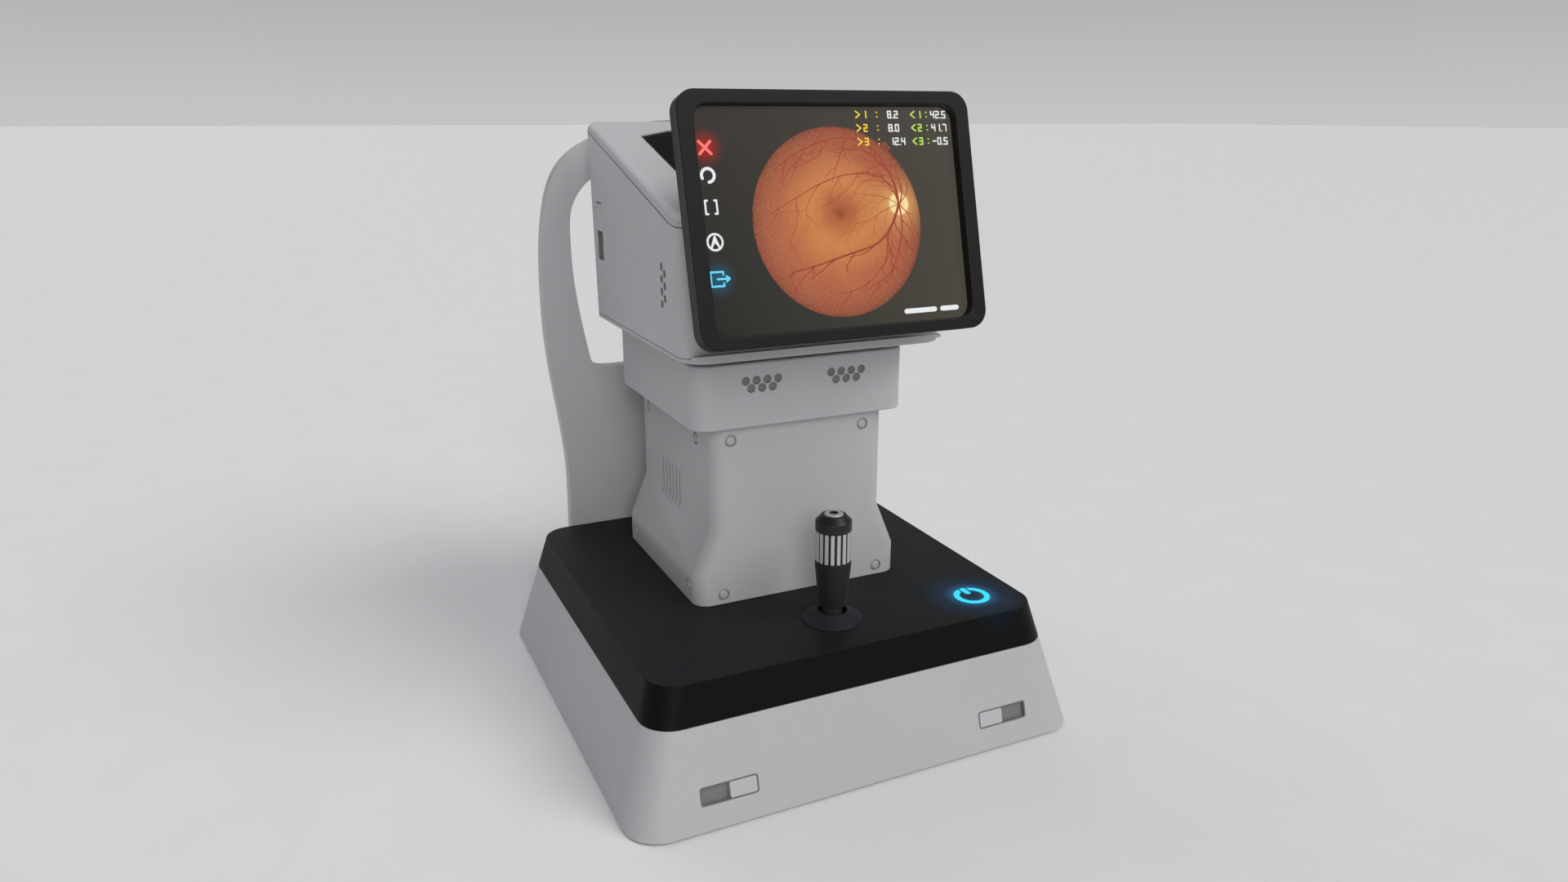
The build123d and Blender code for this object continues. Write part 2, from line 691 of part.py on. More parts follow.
with BuildPart() as side_switch_track:
    with BuildSketch(HEAD_LEFT.offset(-4.4)):
        RectangleRounded(SIDE_SWITCH_WIDE, SIDE_SWITCH_LONG, 1.5)
    extrude(amount=4.2)
    with BuildSketch(HEAD_LEFT.offset(-0.2)):
        RectangleRounded(SIDE_SWITCH_WIDE - 1.4, SIDE_SWITCH_LONG - 1.4, 1)
    extrude(amount=-2.5, mode=Mode.SUBTRACT)
finish(side_switch_track.part, "side_switch_track")

with BuildPart() as side_switch:
    with BuildSketch(HEAD_LEFT.offset(-2.6)):
        with Locations((0, 10.9)):
            RectangleRounded(SIDE_SWITCH_WIDE - 1.8, 21.4, 0.9)
    extrude(amount=2.7)
finish(side_switch.part, "side_switch")

with BuildPart() as head_speakers:
    with BuildSketch(Plane.YZ.offset(-99.5)):
        with Locations((-62, 341.9)):
            RectangleRounded(30, 44, 4)
    extrude(amount=12)
    with BuildSketch(Plane.YZ.offset(99.5)):
        with Locations((-62, 341.9)):
            RectangleRounded(30, 44, 4)
    extrude(amount=-12)
finish(head_speakers.part, "head_speakers")

with BuildPart() as y_rails:
    with BuildSketch(Plane.XY.offset(298.2)):
        with Locations((-45, -3), (45, -3)):
            Rectangle(9, 150)
    extrude(amount=4.8)
finish(y_rails.part, "y_rails")

with BuildPart() as stage_plate:
    with BuildSketch(Plane.XY.offset(303)):
        with Locations((0, -3)):
            Rectangle(164, 154)
        with Locations((0, 11)):
            Rectangle(15, 58, mode=Mode.SUBTRACT)
    extrude(amount=4)
    with BuildSketch(Plane.XY.offset(TRAY_TOP)):
        with Locations((0, -3)):
            with GridLocations(148, 142, 2, 2):
                Rectangle(14, 12)
    extrude(amount=303 - TRAY_TOP)
finish(stage_plate.part, "stage_plate")

with BuildPart() as y_motor:
    with BuildSketch(Plane.XZ.offset(-76.5)):
        with Locations((0, Y_SCREW_Z - 2)):
            RectangleRounded(28, 28, 2)
    extrude(amount=-22)
    with BuildSketch(Plane.XY.offset(TRAY_TOP)):
        with Locations((0, 88)):
            Rectangle(28, 18)
    extrude(amount=4)
finish(y_motor.part, "y_motor")

with BuildPart() as y_screw:
    with BuildSketch(Plane.XZ.offset(60)):
        with Locations((0, Y_SCREW_Z)):
            Circle(3)
    extrude(amount=-136.3)
finish(y_screw.part, "y_screw")

BENCH_Z = 326.0
with BuildPart() as optical_bench:
    with BuildSketch(Plane.XY.offset(BENCH_Z)):
        with Locations((0, 10)):
            Rectangle(120, 130)
    extrude(amount=5)
    with BuildSketch(Plane.XY.offset(307)):
        with Locations((0, 10)):
            with GridLocations(104, 114, 2, 2):
                Circle(6)
    extrude(amount=BENCH_Z - 307)
    with BuildSketch(Plane.XZ.offset(-60)):
        with Locations((0, BENCH_Z + 20)):
            Rectangle(66, 40)
        with Locations((0, EYE_Z)):
            Circle(30, mode=Mode.SUBTRACT)
    extrude(amount=-14)
    with BuildSketch(Plane.XZ.offset(-22)):
        with Locations((0, BENCH_Z + 20)):
            Rectangle(44, 40)
        with Locations((0, EYE_Z)):
            Circle(15, mode=Mode.SUBTRACT)
    extrude(amount=-14)
finish(optical_bench.part, "optical_bench")

NOZZLE_TIP = 128.0
with BuildPart() as optical_barrel:
    with BuildSketch(Plane.XZ.offset(-58)):
        with Locations((0, EYE_Z)):
            Circle(30)
    extrude(amount=-(NOZZLE_TIP - 58))
    chamfer(optical_barrel.edges().group_by(Axis.Y)[-1], 3)
    with BuildSketch(Plane.XZ.offset(-58)):
        with Locations((0, EYE_Z)):
            Circle(22)
    extrude(amount=-(NOZZLE_TIP - 58), mode=Mode.SUBTRACT)
finish(optical_barrel.part, "optical_barrel")

with BuildPart() as objective_lens:
    with BuildSketch(Plane.XZ.offset(-118)):
        with Locations((0, EYE_Z)):
            Circle(22)
    extrude(amount=-4)
finish(objective_lens.part, "objective_lens")

with BuildPart() as camera_module:
    with BuildSketch(Plane.XZ.offset(8)):
        with Locations((0, EYE_Z)):
            Circle(15)
    extrude(amount=-60)
    with BuildSketch(Plane.XZ.offset(30)):
        with Locations((0, EYE_Z - 6)):
            Rectangle(34, 26)
    extrude(amount=-22)
finish(camera_module.part, "camera_module")

# ---------------------------------------------------------------- display
with BuildPart() as display_bracket:
    with BuildSketch(Plane.YZ.offset(-28)):
        with BuildLine():
            Polyline((10, roof_z(10.0) - WELL_DEPTH), (-40, roof_z(-40.0) - WELL_DEPTH), (-56, 400),
                     (HINGE_Y, HINGE_Z - KNUCKLE_R), (HINGE_Y, HINGE_Z + KNUCKLE_R), (-50, 419),
                     (10, 402), close=True)
        make_face()
        with Locations((HINGE_Y, HINGE_Z)):
            Circle(KNUCKLE_R)
            Circle(PIN_R + 0.05, mode=Mode.SUBTRACT)
    extrude(amount=56)
finish(display_bracket.part, "display_bracket")

with BuildPart() as display_bezel:
    with BuildSketch(DISPLAY):
        with Locations((0, DISPLAY_HEIGHT / 2)):
            RectangleRounded(2 * DISPLAY_HALF, DISPLAY_HEIGHT, 13)
    extrude(amount=-(DISPLAY_THICK - 2.2))
    with BuildSketch(DISPLAY):
        with Locations((0, (WINDOW_LOW + WINDOW_HIGH) / 2)):
            RectangleRounded(2 * WINDOW_HALF, WINDOW_HIGH - WINDOW_LOW, 10)
    extrude(amount=-DISPLAY_THICK, mode=Mode.SUBTRACT)
    with BuildSketch(DISPLAY.offset(-GLASS_DEPTH)):
        with Locations((0, DISPLAY_HEIGHT / 2)):
            RectangleRounded(2 * DISPLAY_HALF - 5, DISPLAY_HEIGHT - 5, 10.5)
    extrude(amount=-DISPLAY_THICK, mode=Mode.SUBTRACT)
    front_rim = display_bezel.faces().sort_by(Axis((0, 0, 0), DISPLAY.z_dir))[-1].edges()
    fillet(front_rim, 1.2)
finish(display_bezel.part, "display_bezel")

with BuildPart() as display_glass:
    with BuildSketch(DISPLAY.offset(-GLASS_DEPTH - 0.1)):
        with Locations((0, DISPLAY_HEIGHT / 2)):
            RectangleRounded(2 * DISPLAY_HALF - 6, DISPLAY_HEIGHT - 6, 10)
    extrude(amount=-1.2)
finish(display_glass.part, "display_glass")

with BuildPart() as display_panel:
    with BuildSketch(DISPLAY.offset(-GLASS_DEPTH - 1.5)):
        with Locations((0, DISPLAY_HEIGHT / 2)):
            Rectangle(2 * DISPLAY_HALF - 14, DISPLAY_HEIGHT - 14)
    extrude(amount=-2.6)
finish(display_panel.part, "display_panel")

with BuildPart() as display_back_cover:
    with BuildSketch(DISPLAY.offset(-(DISPLAY_THICK - 2))):
        with Locations((0, DISPLAY_HEIGHT / 2)):
            RectangleRounded(2 * DISPLAY_HALF, DISPLAY_HEIGHT, 13)
    extrude(amount=-2)
    fillet(display_back_cover.faces().sort_by(Axis((0, 0, 0), DISPLAY.z_dir))[0].edges(), 1.0)
    with BuildSketch(DISPLAY.offset(-DISPLAY_THICK)):
        with Locations((0, 112)):
            RectangleRounded(130, 46, 6)
    extrude(amount=-BULGE, taper=12)
    for x in (-45, 29):
        with BuildSketch(Plane.YZ.offset(x)):
            with Locations((HINGE_Y, HINGE_Z)):
                Circle(KNUCKLE_R)
            with Locations((HINGE_Y - 4.2, HINGE_Z + 1.1)):
                Rectangle(9, 2 * KNUCKLE_R, rotation=-TILT)
        extrude(amount=16)
    with BuildSketch(Plane.YZ.offset(-50)):
        with Locations((HINGE_Y, HINGE_Z)):
            Circle(PIN_R)
    extrude(amount=100, mode=Mode.SUBTRACT)
finish(display_back_cover.part, "display_back_cover")

with BuildPart() as hinge_pin:
    with BuildSketch(Plane.YZ.offset(-46)):
        with Locations((HINGE_Y, HINGE_Z)):
            Circle(PIN_R)
    extrude(amount=92)
finish(hinge_pin.part, "hinge_pin")

# ---------------------------------------------------------------- headrest
LEDGE_Z = 241.7
with BuildPart() as headrest_frame:
    with BuildSketch(Plane.XZ.offset(-REST_FRONT)):
        with BuildLine() as outer:
            Line((0, 31), (127, 31))
            Line((127, 31), (125.4, 138))
            Spline((125.4, 138), (130.2, 198), (139.2, 297), tangents=((0, 1), (0, 1)))
            Spline((139.2, 297), (133.8, 377), (122.3, 410), (94.4, 433), (41.4, 447.5), (0, 449.6),
                   tangents=((0, 1), (-1, 0)))
            mirror(about=Plane.YZ)
        make_face()
        with BuildLine() as inner:
            Line((0, LEDGE_Z), (85, LEDGE_Z))
            Spline((85, LEDGE_Z), (101, 251), tangents=((1, 0), (0.2, 1)))
            Spline((101, 251), (109, 296), (112.9, 345), tangents=((0.2, 1), (0, 1)))
            Spline((112.9, 345), (109.3, 382), (93.2, 402), (50, 418), (0, 422),
                   tangents=((0, 1), (-1, 0)))
            mirror(about=Plane.YZ)
        make_face(mode=Mode.SUBTRACT)
    extrude(amount=-REST_THICK)
    with BuildSketch(Plane.XZ.offset(-(REST_FRONT - 1))):
        with Locations(*REST_SCREWS):
            Circle(2.8)
    extrude(amount=-20, mode=Mode.SUBTRACT)
finish(headrest_frame.part, "headrest_frame")

with BuildPart() as forehead_pad:
    with BuildSketch(Plane.XZ.offset(-REST_BACK)):
        with Locations((0, 433)):
            RectangleRounded(116, 20, 9)
    extrude(amount=-10)
    fillet(forehead_pad.faces().sort_by(Axis.Y)[-1].edges(), 4)
finish(forehead_pad.part, "forehead_pad")

with BuildPart() as chin_lift_housing:
    with BuildSketch(Plane.XY.offset(120)):
        with Locations((0, REST_BACK + 19)):
            RectangleRounded(72, 38, 7)
    extrude(amount=114)
    fillet(chin_lift_housing.edges().group_by(Axis.Z)[-1], 3)
    with BuildSketch(Plane.XY.offset(120)):
        with Locations((0, REST_BACK + 19)):
            RectangleRounded(66, 32, 4)
    extrude(amount=104, mode=Mode.SUBTRACT)
    with BuildSketch(Plane.XY.offset(200)):
        with Locations((0, CHIN_Y)):
            Circle(POST_R + 0.05)
    extrude(amount=60, mode=Mode.SUBTRACT)
finish(chin_lift_housing.part, "chin_lift_housing")

with BuildPart() as chin_post:
    with BuildSketch(Plane.XY.offset(140)):
        with Locations((0, CHIN_Y)):
            Circle(POST_R)
    extrude(amount=CHIN_Z - 140)
finish(chin_post.part, "chin_post")

with BuildPart() as chin_rest:
    with BuildSketch(Plane.XY.offset(CHIN_Z)):
        with Locations((0, CHIN_Y)):
            RectangleRounded(84, 54, 14)
    extrude(amount=CHIN_THICK)
    with BuildSketch(Plane.XZ.offset(-(CHIN_Y - 40))):
        with Locations((0, 310)):
            Circle(58)
    extrude(amount=-80, mode=Mode.SUBTRACT)
finish(chin_rest.part, "chin_rest")

with BuildPart() as chin_paper_pins:
    with BuildSketch(Plane.XY.offset(CHIN_Z + CHIN_THICK)):
        with Locations((-37, CHIN_Y), (37, CHIN_Y)):
            Circle(1.5)
    extrude(amount=12)
finish(chin_paper_pins.part, "chin_paper_pins")

# ---------------------------------------------------------------- joystick
with BuildPart() as joystick_collar:
    with BuildSketch(Plane.XZ) as profile:
        with BuildLine():
            Polyline((22.5, DECK_TOP), (22.5, DECK_TOP + 0.8), (11.6, 105.2), (10.7, 105.2),
                     (10.7, 103.6), (18.0, DECK_TOP), close=True)
        make_face()
    revolve(axis=Axis.Z)
joystick_collar.part.position = (0, STICK_Y, 0)
finish(joystick_collar.part, "joystick_collar")

STICK = Plane(origin=(0, STICK_Y, 0))
with BuildPart() as gimbal_housing:
    with BuildSketch(STICK.offset(82)):
        Circle(20)
        Circle(16.6, mode=Mode.SUBTRACT)
    extrude(amount=15.6)
    with BuildSketch(STICK.offset(82)):
        Circle(20)
        Circle(13, mode=Mode.SUBTRACT)
    extrude(amount=2)
    with BuildSketch(Plane.XZ.offset(-STICK_Y + 25)):
        with Locations((0, STICK_PIVOT_Z)):
            Circle(2.05)
    extrude(amount=-50, mode=Mode.SUBTRACT)
finish(gimbal_housing.part, "gimbal_housing")

with BuildPart() as gimbal_ring:
    with BuildSketch(STICK.offset(88.5)):
        Circle(15)
        Circle(11.5, mode=Mode.SUBTRACT)
    extrude(amount=7)
    with BuildSketch(Plane.XZ.offset(-STICK_Y + 19.5)):
        with Locations((0, STICK_PIVOT_Z)):
            Circle(2)
    extrude(amount=-6)
    with BuildSketch(Plane.XZ.offset(-STICK_Y - 19.5)):
        with Locations((0, STICK_PIVOT_Z)):
            Circle(2)
    extrude(amount=6)
    with BuildSketch(Plane.YZ.offset(-20)):
        with Locations((STICK_Y, STICK_PIVOT_Z)):
            Circle(2.05)
    extrude(amount=40, mode=Mode.SUBTRACT)
finish(gimbal_ring.part, "gimbal_ring")

with BuildPart() as joystick_stem:
    with BuildSketch(STICK.offset(86)):
        Circle(5)
    extrude(amount=13)
    with BuildSketch(STICK.offset(99)):
        Circle(7.5)
    extrude(amount=GRIP_BOTTOM - 99)
    with BuildSketch(Plane.YZ.offset(-14.6)):
        with Locations((STICK_Y, STICK_PIVOT_Z)):
            Circle(2)
    extrude(amount=29.2)
    with BuildSketch(STICK.offset(GRIP_BOTTOM)):
        Circle(4)
    extrude(amount=DIAL_TOP + 2 - GRIP_BOTTOM)
finish(joystick_stem.part, "joystick_stem")

with BuildPart() as joystick_grip:
    with BuildSketch(Plane.XZ):
        with BuildLine():
            Polyline((4, GRIP_BOTTOM), (9.4, GRIP_BOTTOM), (10.4, GRIP_BOTTOM + 1),
                     (GRIP_R, DIAL_BOTTOM - 4), (GRIP_R, DIAL_BOTTOM - 0.2), (4, DIAL_BOTTOM - 0.2),
                     close=True)
        make_face()
    revolve(axis=Axis.Z)
joystick_grip.part.position = (0, STICK_Y, 0)
finish(joystick_grip.part, "joystick_grip")

RIBS = 18
with BuildPart() as joystick_dial:
    with BuildSketch(STICK.offset(DIAL_BOTTOM)):
        Circle(GRIP_R - 1.0)
        with PolarLocations(GRIP_R - 1.0, RIBS):
            Rectangle(1.8, 2.6)
        Circle(4.06, mode=Mode.SUBTRACT)
    extrude(amount=DIAL_TOP - DIAL_BOTTOM - 0.2)
finish(joystick_dial.part, "joystick_dial")

with BuildPart() as joystick_cap:
    with BuildSketch(Plane.XZ):
        with BuildLine():
            Polyline((4.1, DIAL_TOP), (GRIP_R, DIAL_TOP), (GRIP_R, CAP_TOP - 4.6), (8.8, CAP_TOP),
                     (7.1, CAP_TOP), (7.1, CAP_TOP - 6), (6.1, CAP_TOP - 7), (6.1, CAP_TOP - 9.8),
                     (4.1, CAP_TOP - 9.8), close=True)
        make_face()
    revolve(axis=Axis.Z)
joystick_cap.part.position = (0, STICK_Y, 0)
finish(joystick_cap.part, "joystick_cap")

with BuildPart() as joystick_button:
    with BuildSketch(STICK.offset(CAP_TOP - 4)):
        Circle(7.0)
    extrude(amount=5)
    chamfer(joystick_button.edges().group_by(Axis.Z)[-1], 0.8)
    with BuildSketch(STICK.offset(CAP_TOP + 1)):
        Circle(3)
    extrude(amount=-1.2, mode=Mode.SUBTRACT)
    with BuildSketch(STICK.offset(CAP_TOP - 8)):
        Circle(2.5)
    extrude(amount=4)
finish(joystick_button.part, "joystick_button")
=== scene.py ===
import json
import math
import random

import bmesh
import bpy
from mathutils import Matrix, Vector


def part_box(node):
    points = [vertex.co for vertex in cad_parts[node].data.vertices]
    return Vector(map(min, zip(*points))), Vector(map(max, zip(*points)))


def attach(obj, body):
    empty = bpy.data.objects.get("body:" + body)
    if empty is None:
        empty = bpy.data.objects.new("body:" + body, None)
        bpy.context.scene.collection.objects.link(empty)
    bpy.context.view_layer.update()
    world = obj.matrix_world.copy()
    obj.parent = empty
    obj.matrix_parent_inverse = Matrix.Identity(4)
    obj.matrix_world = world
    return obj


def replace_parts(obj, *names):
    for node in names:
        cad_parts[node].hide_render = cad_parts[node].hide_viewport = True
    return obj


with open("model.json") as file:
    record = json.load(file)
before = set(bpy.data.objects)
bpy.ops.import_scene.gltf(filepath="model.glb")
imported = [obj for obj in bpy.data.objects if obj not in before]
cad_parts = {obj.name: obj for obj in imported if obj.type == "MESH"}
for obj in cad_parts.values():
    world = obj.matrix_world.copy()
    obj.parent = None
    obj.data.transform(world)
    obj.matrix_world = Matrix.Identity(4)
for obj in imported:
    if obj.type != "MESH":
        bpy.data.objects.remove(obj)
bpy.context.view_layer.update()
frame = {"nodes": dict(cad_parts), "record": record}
NODES = frame["nodes"]
MM = 0.001


# ------------------------------------------------------------------ mesh helpers
def new_object(name, bm, body, mat, smooth=True):
    """Turn a bmesh into an object that rides on a body."""
    mesh = bpy.data.meshes.new(name)
    bmesh.ops.recalc_face_normals(bm, faces=bm.faces)
    bm.to_mesh(mesh)
    bm.free()
    for face in mesh.polygons:
        face.use_smooth = smooth
    obj = bpy.data.objects.new(name, mesh)
    bpy.context.scene.collection.objects.link(obj)
    obj.data.materials.append(mat)
    if body:
        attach(obj, body)
    return obj


def bevel(obj, width, segments=3, angle=30.0):
    """Round an object's hard edges with a modifier."""
    edge = obj.modifiers.new("edge_round", "BEVEL")
    edge.width = width
    edge.segments = segments
    edge.limit_method = "ANGLE"
    edge.angle_limit = math.radians(angle)
    edge.use_clamp_overlap = True
    normals = obj.modifiers.new("weighted_normals", "WEIGHTED_NORMAL")
    normals.weight = 60
    return obj


def soften(node, width, segments=3, angle=30.0):
    """Weld a CAD node's shading splits and round its hard edges."""
    obj = NODES[node]
    for face in obj.data.polygons:
        face.use_smooth = True
    weld = obj.modifiers.new("weld", "WELD")
    weld.merge_threshold = 0.00002
    flat = obj.modifiers.new("join_flat_faces", "DECIMATE")
    flat.decimate_type = "DISSOLVE"
    flat.angle_limit = math.radians(0.2)
    return bevel(obj, width, segments, angle)


def aim(position, normal, up=(0, 0, 1)):
    """A matrix at position whose local Z is normal and whose local Y is close to up."""
    z = Vector(normal).normalized()
    x = Vector(up).cross(z)
    if x.length < 1e-6:
        x = Vector((1, 0, 0))
    x.normalize()
    y = z.cross(x)
    matrix = Matrix((x, y, z)).transposed().to_4x4()
    matrix.translation = Vector(position)
    return matrix


def turned(bm, profile, matrix, segments=48, hexagon=()):
    """Turn a profile of (radius, height) millimetres about a matrix's Z; rows in hexagon are six-sided."""
    rings = []
    for row, (radius, height) in enumerate(profile):
        if radius < 1e-4:
            rings.append([bm.verts.new(matrix @ Vector((0, 0, height * MM)))])
            continue
        ring = []
        for i in range(segments):
            angle = 2 * math.pi * i / segments
            reach = radius
            if row in hexagon:
                reach = radius * math.cos(math.pi / 6) / math.cos(angle % (math.pi / 3) - math.pi / 6)
            spot = Vector((reach * math.cos(angle), reach * math.sin(angle), height)) * MM
            ring.append(bm.verts.new(matrix @ spot))
        rings.append(ring)
    for low, high in zip(rings, rings[1:]):
        for i in range(segments):
            j = (i + 1) % segments
            corners = []
            for vert in (low[i % len(low)], low[j % len(low)], high[j % len(high)], high[i % len(high)]):
                if vert not in corners:
                    corners.append(vert)
            if len(corners) > 2:
                bm.faces.new(corners)


def islands(node):
    """Boxes of a CAD node's separate solids."""
    bm = bmesh.new()
    bm.from_mesh(NODES[node].data)
    bmesh.ops.remove_doubles(bm, verts=bm.verts, dist=1e-5)
    left = set(bm.verts)
    boxes = []
    while left:
        front = [left.pop()]
        group = list(front)
        while front:
            for edge in front.pop().link_edges:
                for vert in edge.verts:
                    if vert in left:
                        left.remove(vert)
                        front.append(vert)
                        group.append(vert)
        low = Vector([min(v.co[k] for v in group) for k in range(3)])
        high = Vector([max(v.co[k] for v in group) for k in range(3)])
        boxes.append((low, high))
    bm.free()
    return sorted(boxes, key=lambda box: tuple(round(c, 5) for c in box[0]))


# ------------------------------------------------------------------ node helpers
def material(name):
    """A new node material, its node tree and its main shader."""
    mat = bpy.data.materials.new(name)
    mat.use_nodes = True
    tree = mat.node_tree
    return mat, tree, tree.nodes["Principled BSDF"]


def ramp(tree, source, stops):
    """A colour ramp fed by source, with (position, grey or colour) stops."""
    node = tree.nodes.new("ShaderNodeValToRGB")
    elements = node.color_ramp.elements
    while len(elements) < len(stops):
        elements.new(0.5)
    for element, (position, colour) in zip(elements, stops):
        element.position = position
        if isinstance(colour, (int, float)):
            colour = (colour, colour, colour)
        element.color = (*colour, 1)
    tree.links.new(source, node.inputs["Fac"])
    return node.outputs["Color"]


def object_coords(tree):
    """Object-space coordinates, which for a CAD node are metres in the shared frame."""
    return tree.nodes.new("ShaderNodeTexCoord").outputs["Object"]


def noise(tree, scale, detail=3.0, stretch=(1, 1, 1)):
    """Noise in object space, in cells per metre."""
    mapping = tree.nodes.new("ShaderNodeMapping")
    mapping.inputs["Scale"].default_value = stretch
    tex = tree.nodes.new("ShaderNodeTexNoise")
    tex.inputs["Scale"].default_value = scale
    tex.inputs["Detail"].default_value = detail
    tree.links.new(object_coords(tree), mapping.inputs["Vector"])
    tree.links.new(mapping.outputs["Vector"], tex.inputs["Vector"])
    return tex.outputs["Fac"]


def calc(tree, operation, *values):
    """A math node on sockets or numbers."""
    node = tree.nodes.new("ShaderNodeMath")
    node.operation = operation
    for socket, value in zip(node.inputs, values):
        if isinstance(value, (int, float)):
            socket.default_value = value
        else:
            tree.links.new(value, socket)
    return node.outputs[0]


def mix(tree, factor, a, b):
    """Blend two colours, each a socket or a tuple."""
    node = tree.nodes.new("ShaderNodeMix")
    node.data_type = "RGBA"
    for key, value in ((6, a), (7, b)):
        if isinstance(value, tuple):
            node.inputs[key].default_value = (*value, 1)
        else:
            tree.links.new(value, node.inputs[key])
    tree.links.new(factor, node.inputs[0])
    return node.outputs[2]


def distance_mm(tree, x, y):
    """Distance in millimetres, in object space's XY plane, from a point in millimetres."""
    split = tree.nodes.new("ShaderNodeSeparateXYZ")
    tree.links.new(object_coords(tree), split.inputs[0])
    across = calc(tree, "SUBTRACT", calc(tree, "MULTIPLY", split.outputs[0], 1000.0), x)
    along = calc(tree, "SUBTRACT", calc(tree, "MULTIPLY", split.outputs[1], 1000.0), y)
    return calc(tree, "SQRT", calc(tree, "ADD", calc(tree, "MULTIPLY", across, across),
                                   calc(tree, "MULTIPLY", along, along)))


def scaled(colour, factor):
    """A colour made lighter or darker."""
    return tuple(channel * factor for channel in colour)


# ------------------------------------------------------------------ materials
def surface(name, colour, rough, grain=900.0, bump=0.04, spread=0.05, metal=0.0, stretch=(1, 1, 1),
            edge=0.05, sheen=0.0, gloss=0.5, patch=0.1, mask=None):
    """Moulded, painted or machined surface: fine bump, slow colour drift, and convex edges lightened as wear
    and as a painted highlight.
    """
    mat, tree, shader = material(name)
    shader.inputs["Metallic"].default_value = metal
    shader.inputs["Specular IOR Level"].default_value = gloss
    shader.inputs["Sheen Weight"].default_value = sheen
    drift = ramp(tree, noise(tree, 14.0, 4.0),
                 [(0.3, scaled(colour, 1 - spread)), (0.7, scaled(colour, 1 + spread))])
    geometry = tree.nodes.new("ShaderNodeNewGeometry")
    # Convex edges are lightened: partly wear, partly a painted highlight.
    edge_wear_and_highlight = ramp(tree, geometry.outputs["Pointiness"], [(0.52, 0.0), (0.60, 1.0)])
    base = mix(tree, edge_wear_and_highlight, drift, tuple(min(1.0, c + edge) for c in colour))
    if mask:
        base = mask(tree, base)
    tree.links.new(base, shader.inputs["Base Color"])
    polish = ramp(tree, noise(tree, 55.0, 5.0, stretch),
                  [(0.3, rough * (1 - patch)), (0.72, min(1.0, rough * (1 + patch)))])
    tree.links.new(polish, shader.inputs["Roughness"])
    relief = tree.nodes.new("ShaderNodeBump")
    relief.inputs["Strength"].default_value = bump
    relief.inputs["Distance"].default_value = 0.0002
    tree.links.new(noise(tree, grain, 2.0, stretch), relief.inputs["Height"])
    tree.links.new(relief.outputs["Normal"], shader.inputs["Normal"])
    return mat


def glow(name, colour, strength, gloss=0.25, rough=0.22):
    """A lit element of the display or of a light guide, with a slightly uneven brightness."""
    mat, tree, shader = material(name)
    shader.inputs["Base Color"].default_value = (*scaled(colour, 0.08), 1)
    shader.inputs["Roughness"].default_value = rough
    shader.inputs["Specular IOR Level"].default_value = gloss
    shader.inputs["Emission Strength"].default_value = strength
    uneven = ramp(tree, noise(tree, 260.0, 2.0), [(0.25, scaled(colour, 0.88)), (0.75, colour)])
    tree.links.new(uneven, shader.inputs["Emission Color"])
    return mat


def clear(name, tint, rough, ior):
    """Coated optical glass with faint smears in its gloss."""
    mat, tree, shader = material(name)
    shader.inputs["Base Color"].default_value = (*tint, 1)
    shader.inputs["Transmission Weight"].default_value = 0.9
    shader.inputs["IOR"].default_value = ior
    smears = ramp(tree, noise(tree, 24.0, 5.0, (1, 1, 3)), [(0.35, rough * 0.5), (0.7, rough * 1.6)])
    tree.links.new(smears, shader.inputs["Roughness"])
    return mat


STICK_LOW, STICK_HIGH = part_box("joystick_dial")
STICK_X = (STICK_LOW.x + STICK_HIGH.x) / 2 / MM
STICK_Y = (STICK_LOW.y + STICK_HIGH.y) / 2 / MM
RIB_TIP = (STICK_HIGH.x - STICK_LOW.x) / 2 / MM
RIB_FACE_DEEP = 0.75
DIMPLE_RADIUS = 3.3
HALO_SPAN = 100.0


def groove_mask(tree, base):
    """Black between the dial's satin ribs."""
    reach = distance_mm(tree, STICK_X, STICK_Y)
    tip = calc(tree, "GREATER_THAN", reach, RIB_TIP - RIB_FACE_DEEP)
    return mix(tree, tip, (0.006, 0.006, 0.006), base)


def dimple_mask(tree, base):
    """Black in the dimple of the trigger button."""
    reach = distance_mm(tree, STICK_X, STICK_Y)
    return mix(tree, calc(tree, "GREATER_THAN", reach, DIMPLE_RADIUS), (0.008, 0.008, 0.008), base)


def band_mask(tree, base):
    """Painted shade: the deck's faces that do not face up, its sloping band among them, get a deeper black
    than its matt top.
    """
    geometry = tree.nodes.new("ShaderNodeNewGeometry")
    split = tree.nodes.new("ShaderNodeSeparateXYZ")
    tree.links.new(geometry.outputs["Normal"], split.inputs[0])
    flat = ramp(tree, split.outputs[2], [(0.75, 0.0), (0.95, 1.0)])
    return mix(tree, flat, (0.0012, 0.0013, 0.0016), base)


def key_halo(mat, x, y):
    """Light that spills from the touch key over the satin deck around it."""
    tree = mat.node_tree
    shader = tree.nodes["Principled BSDF"]
    reach = calc(tree, "DIVIDE", distance_mm(tree, x, y), HALO_SPAN)
    spill = ramp(tree, reach, [(0.02, (0.002, 0.03, 0.06)), (0.085, (0.004, 0.07, 0.14)),
                               (0.12, (0.04, 0.36, 0.66)), (0.155, (0.010, 0.12, 0.25)),
                               (0.22, (0.001, 0.022, 0.055)), (0.40, (0.0, 0.0, 0.0))])
    tree.links.new(spill, shader.inputs["Emission Color"])
    shader.inputs["Emission Strength"].default_value = 0.55


